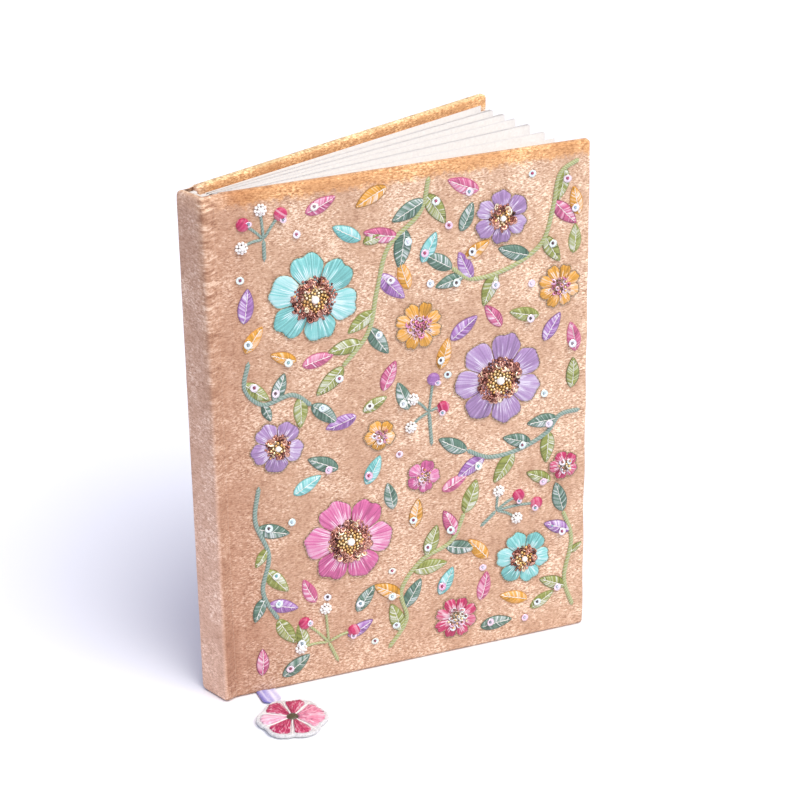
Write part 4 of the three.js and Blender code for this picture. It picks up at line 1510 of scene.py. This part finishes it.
# %% Where the sprigs lie
sprigs = [  # stem thread, points of the stem, and leaves: share, side, length, thread
    ("olive", [(84, 211), (80, 197), (67, 185), (62, 168), (58, 151), (47, 138)], [
        (0.1, 1, 15, "olive"), (0.13, -1, 15, "sage"), (0.3, 1, 16, "sage"), (0.34, -1, 14, "rose"),
        (0.53, 1, 15, "purple"), (0.7, -1, 13, "olive"), (0.78, 1, 14, "sage"),
        (0.86, -1, 14, "olive"), (1, 0, 15, "olive")]),
    ("olive", [(147, 209), (139, 204), (136, 190), (131, 176), (117, 168), (102, 166), (93, 172)], [
        (0.12, 1, 13, "olive"), (0.3, 1, 14, "rose"), (0.46, 1, 13, "olive"), (0.57, -1, 14, "sage"),
        (0.72, 1, 14, "olive"), (0.84, -1, 13, "purple"), (0.9, 1, 12, "sage"), (1, 0, 14, "sage")]),
    ("sage", [(149, 101), (140, 100), (134, 93), (122, 88), (109, 87), (99, 92)], [
        (0.24, -1, 13, "sage"), (0.38, 1, 14, "olive"), (0.52, -1, 13, "sage"),
        (0.64, 1, 15, "olive"), (0.84, 1, 14, "purple"), (1, 0, 14, "sage")]),
    ("sage", [(11, 93), (9, 78), (14, 62), (11, 46), (17, 32)], [
        (0.3, 1, 14, "sage"), (0.45, -1, 9, "olive"), (0.6, 1, 14, "olive"),
        (0.8, -1, 11, "sage"), (0.86, 1, 13, "purple"), (1, 0, 14, "olive")]),
    ("olive", [(64, 8), (72, 20), (70, 34), (79, 46), (92, 52), (98, 64)], [
        (0.12, 1, 14, "olive"), (0.28, -1, 14, "sage"), (0.36, 1, 14, "gold"),
        (0.53, -1, 15, "olive"), (0.64, 1, 14, "olive"), (0.76, -1, 14, "sage"),
        (0.85, 1, 13, "rose"), (1, 0, 15, "olive")]),
    ("olive", [(147, 10), (143, 24), (146, 42), (142, 56)], [
        (0.25, 1, 13, "olive"), (0.55, -1, 6.5, "olive"), (0.76, 1, 13, "purple"),
        (1, 0, 14, "sage")]),
    ("sage", [(9, 147), (7, 136), (14, 128), (26, 130), (34, 124)], [
        (0.2, 1, 13, "olive"), (0.5, -1, 8, "sage"), (0.6, 1, 12, "sage"),
        (0.84, -1, 13, "olive"), (1, 0, 14, "sage")]),
]
print("leaves on the sprigs:", sum(len(leaves) for _, _, leaves in sprigs))

# %% Sprigs
leaf_lean = math.radians(48)
stem_steps = 400


def sprig_piece(number, colour, points, leaves):
    """Every leaf starts on the stem, at its share of the way, leaning to its own side."""
    parts = [stem(thread[colour], points)]
    line = smooth_line(points, stem_steps + 1)
    for k, (share, side, length, leaf_colour) in enumerate(leaves):
        i = min(int(share * stem_steps), stem_steps - 1)
        way = line[i + 1] - line[i]
        angle = math.atan2(way[1], way[0]) + side * leaf_lean
        tone = rng.uniform(0.45, 1.0) if k % 2 == 0 else None
        parts += stitched_leaf(thread[leaf_colour], line[i], angle, length, tone)
    stitched_piece(f"stitched_sprig_{number}", parts, f"sprig_{number}")


for number, (colour, points, leaves) in enumerate(sprigs, 1):
    sprig_piece(number, colour, points, leaves)
print("sprigs stitched:", len(sprigs))

# %% [markdown]
# ## Berries
#
# A berry sprig forks into short stalks. Some berries are domes of satin stitch with a sequin
# at one side, and the white ones are clusters of pearls.

# %% Berries
berry_radius = 2.7
berry_sprigs = [  # stem thread, points of the stem, and berries: place, kind
    ("sage", [(17, 187), (17, 196)], [
        ((9, 203), "crimson"), ((16, 208), "pearls"), ((24, 205), "crimson"), ((8, 194), "pearls")]),
    ("sage", [(84, 97), (83, 112)], [
        ((76, 119), "pearls"), ((85, 126), "purple"), ((89, 113), "crimson"), ((75, 107), "pearls")]),
    ("olive", [(42, 7), (38, 17)], [
        ((28, 28), "crimson"), ((37, 33), "pearls"), ((26, 17), "pearls"), ((49, 20), "crimson")]),
    ("sage", [(105, 56), (112, 62)], [
        ((121, 57), "pearls"), ((122, 67), "crimson"), ((113, 71), "pearls"), ((130, 62), "crimson")]),
]


def satin_dome(finish, centre, radius, rise, angle):
    """A half ball of parallel stitches: places on a ball by two angles, with a ridge for
    each stitch."""
    stitches = 11
    rows = 2 * stitches + 1
    q = np.linspace(-0.98, 0.98, rows)[:, None] * math.pi / 2
    p = np.linspace(-1, 1, 9)[None] * math.pi / 2
    x, y = radius * np.sin(q) + 0 * p, radius * np.cos(q) * np.sin(p)
    out = rise * np.cos(q) * np.cos(p) + 0.08 * (np.arange(rows) % 2)[:, None]
    shade = np.broadcast_to(
        0.45 + np.repeat(rng.normal(0, 0.12, stitches + 1), 2)[:rows, None], x.shape)
    c, s = math.cos(angle), math.sin(angle)
    return finish, relief(centre[0] + c * x - s * y, centre[1] + s * x + c * y, out, shade)


def pearl_cluster(centre):
    """Nine pearls in a ring, five in a smaller one above it, and one on top."""
    parts = []
    for count, reach, lift, size in ((9, 2.0, 0.55, 0.72), (5, 1.0, 1.25, 0.68), (1, 0.0, 1.6, 0.8)):
        turn = 2 * math.pi * np.arange(count) / count + rng.uniform(0, 1)
        places = np.stack([
            centre[0] + reach * np.cos(turn), centre[1] + reach * np.sin(turn),
            np.full(count, lift)], -1)
        parts.append((pearls, scattered(bead, places, size, rng.uniform(0, 1, count))))
    return parts


def berry_piece(number, colour, points, berries):
    """A stem, and from its fork a short curved stalk to each berry."""
    parts = [stem(thread[colour], points, 1.5)]
    fork = points[1]
    for (u, v), kind in berries:
        middle = ((fork[0] + u) / 2, (fork[1] + v) / 2 + 0.6)
        parts.append(stem(thread[colour], [fork, middle, (u, v)], 1.1, 0.6))
        if kind == "pearls":
            parts += pearl_cluster((u, v))
        else:
            angle = math.atan2(v - fork[1], u - fork[0])
            parts.append(satin_dome(thread[kind], (u, v), berry_radius, 1.7, angle))
            away = 1.9 * np.array([math.cos(angle - 2.2), math.sin(angle - 2.2)])
            parts += held_sequin((u + away[0], v + away[1], 1.3), 0.4, 1.35)
    stitched_piece(
        f"stitched_berries_{number}", parts, f"berry_sprig_{number}")


for number, (colour, points, berries) in enumerate(berry_sprigs, 1):
    berry_piece(number, colour, points, berries)
print("berry sprigs stitched:", len(berry_sprigs))

# %% [markdown]
# ## Flowers
#
# Each petal is its own field of satin stitch. Its threads fan out from the middle, so one
# measure of the grid is the share of the way out and the other is the angle within the petal.
# The rim is a rounded lobe with a small ripple. The petals catch the light by the way their
# threads run, so each has its own overall tone. Its threads start paler, each out to its own
# share of the way. A fine bronze cord runs round each petal, and the middle is a heap of beads
# and sequins.

# %% Petals
petal_stitches = 3.6  # for each millimetre of its half arc
centre_share = 0.41  # the middle against the whole flower
notch_share = 0.7  # how far out the notches between the petals lie
petal_rows = 10
side_points = 7
rim_points = 31
cord_turn = 0.97  # where the cord runs, against the petal's own half angle


def rim_reach(radius, t, phase):
    """How far a petal reaches at a place across it, from -1 to 1: the root of a cosine, with
    a ripple along the rim and a shallow dent near its middle."""
    lobe = np.clip(np.cos(math.pi * t / 2), 0, 1) ** 0.5
    wave = 0.022 * np.sin(2.2 * math.pi * t + phase)
    dent = 0.035 * np.exp(-((t - 0.1) / 0.2) ** 2)
    return radius * (notch_share + (1 - notch_share) * lobe) * (0.98 + wave - dent)


def petal_cord(centre, radius, middle, half_angle, phase, inner):
    """The path of the cord round a petal: out along one side, round the rim, and back."""
    sides = np.linspace(0.2, 0.9, side_points)
    at_side = inner + (rim_reach(radius, 1.0, phase) - inner) * sides
    run = np.linspace(-1, 1, rim_points)
    reaches = np.concatenate([at_side, rim_reach(radius, run, phase) + 0.3, at_side[::-1]])
    turn = half_angle * cord_turn
    angles = np.concatenate([
        np.full(side_points, middle - turn), middle + run * half_angle * cord_turn,
        np.full(side_points, middle + turn)])
    return np.stack([
        centre[0] + reaches * np.cos(angles), centre[1] + reaches * np.sin(angles),
        np.full(len(angles), 0.2)], -1)


def petal(finish, centre, radius, middle, half_angle, tone):
    """One petal of fanned threads, and the cord round it. Its crown falls off towards the rim
    and the sides as cosines do, with a low ridge for each thread."""
    stitches = max(12, round(radius * half_angle * petal_stitches))
    cols = 2 * stitches + 1
    t = np.linspace(-1, 1, cols)[None]
    s = np.linspace(0, 1, petal_rows)[:, None]
    phase = rng.uniform(0, 6)
    inner = radius * centre_share * 0.85
    ends = rng.uniform(-0.02, 0.02, cols)[None] * s
    reach = inner + (rim_reach(radius, t, phase) - inner) * (s + ends)
    angle = middle + t * half_angle * (0.93 + 0.045 * s)
    across = centre[0] + reach * np.cos(angle)
    up = centre[1] + reach * np.sin(angle)
    crown = np.cos(math.pi / 2 * s**2.2) * (0.5 + 0.5 * np.cos(math.pi * t / 2) ** 0.7)
    ridge = 0.08 * (np.arange(cols) % 2)[None] * np.sin(math.pi * np.clip(s, 0.1, 0.95)) ** 0.5
    out = 0.28 + 0.75 * crown + ridge
    # painted shade: the dip beside each thread is a little darker than its back
    fine = thread_tones(stitches + 1, 0.1, 0.0)[None, :cols] - 0.1 * (np.arange(cols) % 2 == 0)
    reach_in = np.repeat(rng.uniform(0.2, 0.8, stitches + 1), 2)[None, :cols]
    pale = np.where(np.arange(stitches + 1) % 2 == 0, 0.15, rng.uniform(0.4, 0.8)).repeat(2)
    shade = tone + fine + pale[:cols] * np.clip((reach_in - s) / 0.16, 0, 1) + 0.1 * s**3
    path = petal_cord(centre, radius, middle, half_angle, phase, inner)
    cord_tone = 0.45 + 0.35 * np.sin(np.arange(len(path)) * 2.1)
    return [
        (finish, relief(across, up, out, shade)),
        (outline_cord, laid_cord(path, 0.2, cord_tone, 5)),
    ]


outline_cord = bead_material(
    "outline_cord", [(0.0, (0.16, 0.10, 0.06)), (0.5, (0.40, 0.28, 0.16)), (1.0, (0.80, 0.68, 0.48))],
    Metallic=0.2, Roughness=0.45)
print("petals can be stitched")

# %% Middles of flowers
golden_angle = math.radians(137.508)


def spiral(count, inner, outer):
    """Places spread evenly over a ring: each turns by the golden angle from the last, and the
    square of its distance grows evenly."""
    k = np.arange(count) + 0.5
    reach = np.sqrt(inner**2 + (outer**2 - inner**2) * k / count)
    angle = k * golden_angle
    return reach * np.cos(angle), reach * np.sin(angle), reach


def heaped(centre, x, y, lift):
    """Places about the middle of a flower, in three measures."""
    return np.stack([centre[0] + x, centre[1] + y, lift], -1)


def beaded_middle(centre, radius):
    """A mound of beads: dark and copper outside, gold within, one pearl in the middle."""
    reach = radius * centre_share * 1.12
    x, y, r = spiral(max(12, round(reach**2 * 1.25)), reach * 0.52, reach)
    lift = 0.75 + 0.5 * (1 - r / reach)
    tones = np.clip(rng.normal(0.28, 0.16, len(x)), 0, 0.75)
    size = rng.uniform(0.6, 0.85, len(x))
    parts = [(metal_beads, scattered(bead, heaped(centre, x, y, lift), size, tones))]
    flakes = rng.permutation(len(x))[: len(x) * 2 // 5]
    spots = heaped(centre, x, y, lift + 0.5)[flakes]
    tones = rng.choice([0.15, 0.35, 0.5, 0.95], len(flakes))
    parts.append((metal_beads, scattered(sequin, spots, 1.4, tones, 1.1)))
    x, y, r = spiral(max(7, round(reach**2 * 0.6)), reach * 0.08, reach * 0.6)
    lift = 1.35 + 0.5 * (1 - r / reach)
    tones = rng.uniform(0.55, 1.0, len(x))
    parts.append((metal_beads, scattered(bead, heaped(centre, x, y, lift), 0.62, tones)))
    parts.append((pearls, scattered(pearl, (*centre, 2.1), 0.055 * radius + 0.55, 0.8)))
    return parts


def sequin_middle(centre, radius, tone):
    """A loose heap of coloured sequins with beads between them, for the small flowers."""
    reach = radius * centre_share * 1.15
    x, y, r = spiral(max(6, round(reach**2 * 0.8)), 0.1, reach)
    places = heaped(centre, x, y, 0.9 + 0.6 * (1 - r / reach))
    tones = np.clip(rng.normal(tone, 0.2, len(x)), 0, 1)
    parts = [(sequins, scattered(sequin, places, rng.uniform(0.9, 1.4, len(x)), tones, 0.8))]
    tones = rng.uniform(0.1, 0.9, len(x))
    parts.append((metal_beads, scattered(bead, places + [0.3, 0.2, 0.45], 0.5, tones)))
    return parts


print("middles of flowers can be heaped")

# %% Flowers


def flower_piece(name, u, v, radius, petals, turn, colour):
    """Petals at equal turns, each a little shorter or longer, a dome under the middle, and
    beads on the large flowers or sequins on the small ones."""
    finish = thread[colour]
    half_angle = math.pi / petals
    parts = []
    for k in range(petals):
        middle = math.radians(turn) + (2 * k + 1) * half_angle
        tone = 0.42 + 0.16 * math.cos(2 * middle + 0.8) + rng.uniform(-0.05, 0.05)
        parts += petal(finish, (u, v), radius * rng.uniform(0.93, 1.0), middle, half_angle, tone)
    parts.append(satin_dome(thread["bronze"], (u, v), radius * centre_share, 1.2, 0.4))
    if radius > 11 or colour == "aqua":
        parts += beaded_middle((u, v), radius)
    else:
        parts += sequin_middle((u, v), radius, 0.15 if colour != "crimson" else 0.7)
    stitched_piece(f"stitched_{name}", parts, name)


for flower in flowers:
    flower_piece(*flower)
print("flowers stitched:", len(flowers))

# %% [markdown]
# ## Loose leaves and sequins
#
# Between the sprigs lie single leaves, each in one thread, and sequins with a bead. Their
# places are chosen to fill what the flowers and sprigs leave bare.

# %% Loose leaves
loose_leaves = [  # across, up, angle, length, thread
    (60, 207, 200, 14, "gold"), (98, 205, 160, 14, "rose"), (50, 193, 150, 13, "aqua"),
    (40, 206, 20, 13, "rose"), (9, 170, 80, 14, "purple"), (11, 156, 60, 12, "gold"),
    (37, 143, 15, 13, "rose"), (23, 146, 160, 11, "gold"), (98, 146, 40, 14, "purple"),
    (90, 136, 70, 13, "gold"), (66, 131, 70, 13, "rose"), (72, 121, 110, 13, "sage"),
    (46, 114, 200, 13, "purple"), (38, 98, 150, 14, "sage"), (31, 90, 30, 13, "aqua"),
    (59, 91, 60, 13, "aqua"), (136, 140, 60, 13, "purple"), (146, 134, 95, 13, "rose"),
    (146, 118, 80, 13, "olive"), (124, 147, 170, 13, "olive"), (111, 149, 120, 12, "rose"),
    (77, 68, 80, 13, "gold"), (30, 42, 120, 12, "rose"), (24, 9, 30, 14, "sage"),
    (10, 14, 80, 12, "rose"), (54, 34, 60, 13, "sage"), (52, 20, 20, 12, "purple"),
    (90, 34, 60, 13, "aqua"), (107, 28, 70, 13, "rose"), (112, 10, 10, 14, "sage"),
    (120, 20, 160, 13, "gold"), (133, 16, 30, 12, "olive"), (104, 46, 130, 13, "gold"),
    (131, 74, 150, 12, "olive"), (66, 78, 100, 12, "sage"), (104, 178, 30, 12, "gold"),
    (146, 176, 80, 12, "olive"), (146, 192, 100, 12, "gold"), (100, 192, 60, 12, "sage"),
    (60, 120, 30, 11, "olive"), (94, 78, 20, 12, "rose"), (84, 182, 60, 13, "aqua"),
    (73, 172, 110, 12, "gold"), (27, 22, 100, 12, "olive"), (62, 190, 20, 11, "olive"),
]
loose_sequins = [
    (30, 196), (92, 190), (127, 206), (7, 181), (84, 167), (91, 127), (133, 111), (70, 96),
    (24, 75), (66, 44), (106, 37), (38, 38), (58, 13), (125, 9), (127, 160), (137, 50),
]


def loose_leaves_piece(colour):
    """All loose leaves of one thread, each laid about its middle, and every other one in the
    list with a sequin."""
    parts = []
    for k, (u, v, angle, length, leaf_colour) in enumerate(loose_leaves):
        if leaf_colour == colour:
            turn = math.radians(angle)
            start = (u - length / 2 * math.cos(turn), v - length / 2 * math.sin(turn))
            tone = rng.uniform(0.2, 1.0) if k % 2 else None
            parts += stitched_leaf(thread[colour], start, turn, length, tone)
    stitched_piece(f"loose_{colour}_leaves", parts)


for colour in dict.fromkeys(leaf[4] for leaf in loose_leaves):
    loose_leaves_piece(colour)
parts = []
for u, v in loose_sequins:
    parts += held_sequin((u, v, 0.15), rng.uniform(0.3, 1.0), 1.6)
stitched_piece("loose_sequins", parts)
print("loose leaves:", len(loose_leaves), "loose sequins:", len(loose_sequins))

# %% [markdown]
# ## The charm
#
# The charm is a thick felt flower that lies on the table. Its outline comes from the frame: the
# corner points of the frame's felt, sorted by angle, give a reach for every heading. The felt
# is a disc of rings over that outline, with a rounded edge that curls up a little from the
# table. On it lie six wedges of satin stitch, a white thread between each two, and a dark knot.
# The wedge at the right is the widest, so its neighbours are turned away from it.

# %% Felt
felt_height = 1.8 * MM
felt_edge = felt_height / 2  # radius of its rounded edge
felt_curl = 0.7 * MM
charm_middle = node_points("charm_knot").mean(0)
charm_middle[2] = 0.0
felt = plain_material(
    "felt", (0.56, 0.55, 0.53), (0.80, 0.79, 0.77), 1300.0, 0.3 * MM, Roughness=0.95)


def felt_reach(heading):
    """How far the frame's felt reaches from its middle towards a heading."""
    corners = node_points("charm_felt")
    corners = corners[corners[:, 2] > felt_height / 2]
    away = corners[:, :2] - charm_middle[:2]
    angle, reach = np.arctan2(away[:, 1], away[:, 0]), np.hypot(away[:, 0], away[:, 1])
    rim = reach > 0.8 * reach.max()
    order = np.argsort(angle[rim])
    return np.interp(heading, angle[rim][order], reach[rim][order], period=2 * math.pi)


def charm_piece(name, points, faces, finish, shade, node):
    """A piece of the charm that takes the place of a node and rides with it."""
    piece = make_piece(name, points, faces, finish, shade)
    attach(piece, "charm")
    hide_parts(node)


def felt_flower():
    """Rings from the middle of the top, round the edge along half a circle, to the middle of
    the underside. The curl grows with the square of the way over the outer fifth."""
    heading = np.linspace(0, 2 * math.pi, 180, endpoint=False)
    shares = [0.02, 0.2, 0.4, 0.55, 0.7, 0.8, 0.9, 1.0]
    reach = felt_reach(heading) * (1 + 0.006 * np.sin(23 * heading))
    flat = [(reach - felt_edge) * share for share in shares]
    turns = np.linspace(math.pi / 2, -math.pi / 2, 9)[1:]
    edge = [reach - felt_edge + felt_edge * math.cos(turn) for turn in turns]
    rings = np.array(flat + edge + flat[-2::-1])
    rise = [1.0] * len(flat) + [(1 + math.sin(turn)) / 2 for turn in turns] + [0.0] * (len(flat) - 1)
    heights = np.array(rise)[:, None] * felt_height + 0 * heading
    out = rings / reach
    curl = felt_curl * np.clip((out - 0.8) / 0.2, 0, 1) ** 2 * (0.6 - 0.4 * np.cos(heading))
    soft = 0.07 * MM * ripple(rings * np.cos(heading), rings * np.sin(heading), 2.2 * MM, 21)
    heights = heights + curl + soft * (heights > 0.5 * felt_height)
    points = np.stack([rings * np.cos(heading), rings * np.sin(heading), heights], -1)
    points, faces = ring_skin(points + charm_middle)
    charm_piece("charm_felt_flower", points, outward(points, faces), felt, None,
                "charm_felt")
    return reach


felt_span = felt_flower()
print("the felt reaches", round(float(felt_span.max()) / MM, 1), "mm from its middle")

# %% Stitches of the charm
wedge_start = 2.4  # mm from the middle, under the knot
wedge_end = 12.9
wedge_stitches = 0.43  # for each degree of half its width
felt_margin = 1.5  # left bare along the rim
white_end = 13.0
thread_gap = 5  # degrees between a wedge's threads and its edge, where the white thread lies
thread["pale_pink"] = thread_material("pale_pink_thread", (0.83, 0.36, 0.50))
thread["charm_pink"] = thread_material("charm_pink_thread", (0.78, 0.22, 0.34))
thread["knot"] = thread_material("knot_thread", (0.085, 0.07, 0.03))


def on_felt(points):
    """Across, along and up from the middle of the felt's top, in millimetres, to the place."""
    return points * MM + charm_middle + np.array([0, 0, felt_height])


def charm_petal(number, colour, lean, half_width):
    """A wedge of satin stitch: threads at equal turns from near the knot to a lobed rim, with
    mottled tones. Gives the heading of its edge."""
    away = node_points(f"charm_petal_{number}").mean(0) - charm_middle
    heading = math.atan2(away[1], away[0]) + math.radians(lean)
    stitches = round(wedge_stitches * half_width)
    cols, rows = 2 * stitches + 1, 12
    t, s = np.linspace(-1, 1, cols)[None], np.linspace(0, 1, rows)[:, None]
    half_angle = math.radians(half_width - thread_gap)
    far = wedge_end * (0.82 + 0.18 * np.clip(np.cos(math.pi * t / 2), 0, 1) ** 0.45)
    far = np.minimum(far, felt_reach((heading + t * half_angle)[0])[None] / MM - felt_margin)
    ends = s + rng.uniform(-0.03, 0.03, cols)[None] * s
    reach = wedge_start + (far - wedge_start) * ends
    angle = heading + t * half_angle * (0.8 + 0.22 * s)
    crown = np.sin(math.pi * np.clip(0.12 + 0.8 * s, 0, 1)) ** 0.5 * np.cos(math.pi * t / 2.3) ** 0.4
    out = 0.15 + 0.8 * crown + 0.1 * (np.arange(cols) % 2)[None] + rng.normal(0, 0.05, (rows, cols))
    shade = 0.42 + thread_tones(stitches + 1, 0.1, 0.03)[None, :cols]
    # painted shade where the wedges run in under the knot: darker close to the middle
    shade = shade + rng.normal(0, 0.2, (rows, cols)) - 0.35 * np.exp(-s / 0.12)
    if colour == "pink":  # paler on one side of a white crease
        shade = shade + 0.17 * (t < -0.1) + 0.5 * np.exp(-((t + 0.1) / 0.05) ** 2) * (s > 0.45)
    if colour == "pale_pink":
        shade = shade + 0.25
    points, faces, tone = relief(reach * np.cos(angle), reach * np.sin(angle), out, shade)
    finish = thread["charm_pink" if colour == "pink" else colour]
    charm_piece(f"charm_petal_{number}_stitches", on_felt(points), faces, finish, tone,
                f"charm_petal_{number}")
    return heading + math.radians(half_width)


print("the wedges run from", wedge_start, "to", wedge_end, "mm")

# %% Charm


def white_threads(headings):
    """A thick pale thread along each of the headings, thinner and lower towards the rim."""
    parts = []
    for heading in headings:
        run = np.linspace(wedge_start, white_end, 24)
        beside = heading + 0.02 * np.sin(run)
        path = np.stack([run * np.cos(beside), run * np.sin(beside), 0.35 - 0.02 * run], -1)
        parts.append(laid_cord(path, 0.42 - 0.012 * run, 0.75 + 0.2 * np.sin(run * 2.0)))
    points, faces, shade = joined(parts)
    piece = make_piece("charm_white_threads", on_felt(points), faces, thread["cream"], shade)
    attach(piece, "charm")


charm_petals = [  # thread, how far it is turned from its solid, and half its width, in degrees
    ("pink", 2.5, 51.5), ("crimson", 19.5, 25.5), ("crimson", 12.0, 27.0),
    ("pale_pink", 3.5, 24.5), ("crimson", -3.0, 29.0), ("crimson", -11.5, 22.5),
]
white_threads([charm_petal(number, *facts) for number, facts in enumerate(charm_petals, 1)])
_, (points, faces, shade) = satin_dome(thread["knot"], (0.0, 0.0), 2.5, 1.3, 0.5)
charm_piece("charm_knot_stitches", on_felt(points), faces, thread["knot"], shade,
            "charm_knot")
print("charm petals stitched:", len(charm_petals))

# %% [markdown]
# ## Floor and light
#
# A white floor and a white surround give the plain ground of a catalogue picture. The surround
# is slightly blue, so what the lamp doesn't reach looks cool. One very wide, slightly warm
# lamp stands high in front of the cover. It hardly reaches the spine, and it throws a soft
# shadow straight back, which from the camera lies to the left.

# %% Stage
sky_colour = (0.69, 0.745, 1.0, 1.0)
sky_strength = 0.69
key_energy = 2.9
key_spread = 44.0
key_from = (-0.04, -0.56, 0.83)
key_colour = (1.0, 0.96, 0.91)
floor_colour = (0.93, 0.93, 0.94, 1.0)
floor_reach = 6.0
floor_level = -0.2 * MM


def build_floor():
    """A wide square just under the book, so the two don't meet in one plane."""
    finish, _, _ = new_material("floor", Base_Color=floor_colour, Roughness=0.9)
    corners = floor_reach * np.array([[-1.0, -1, 0], [1, -1, 0], [1, 1, 0], [-1, 1, 0]])
    corners[:, 2] = floor_level
    floor = make_piece("floor", corners, np.array([[0, 1, 2], [0, 2, 3]]), finish)


def build_light():
    """An even surround and a wide lamp. A lamp shines down its own upright axis, so the third
    column of its matrix points back to where its light comes from."""
    world = bpy.data.worlds.new("surround")
    world.use_nodes = True
    shine = world.node_tree.nodes["Background"]
    shine.inputs["Color"].default_value = sky_colour
    shine.inputs["Strength"].default_value = sky_strength
    scene.world = world
    lamp = bpy.data.lights.new("key", "SUN")
    lamp.energy = key_energy
    lamp.angle = math.radians(key_spread)
    lamp.color = key_colour
    key = bpy.data.objects.new("key", lamp)
    away = np.array(key_from) / np.linalg.norm(key_from)
    side = np.cross([0, 0, 1], away)
    side /= np.linalg.norm(side)
    matrix = np.eye(4)
    matrix[:3, 0], matrix[:3, 1], matrix[:3, 2] = side, np.cross(away, side), away
    key.matrix_world = Matrix(matrix.tolist())
    scene.collection.objects.link(key)
    scene.view_settings.view_transform = "Standard"


build_floor()
build_light()
print("floor and light set")
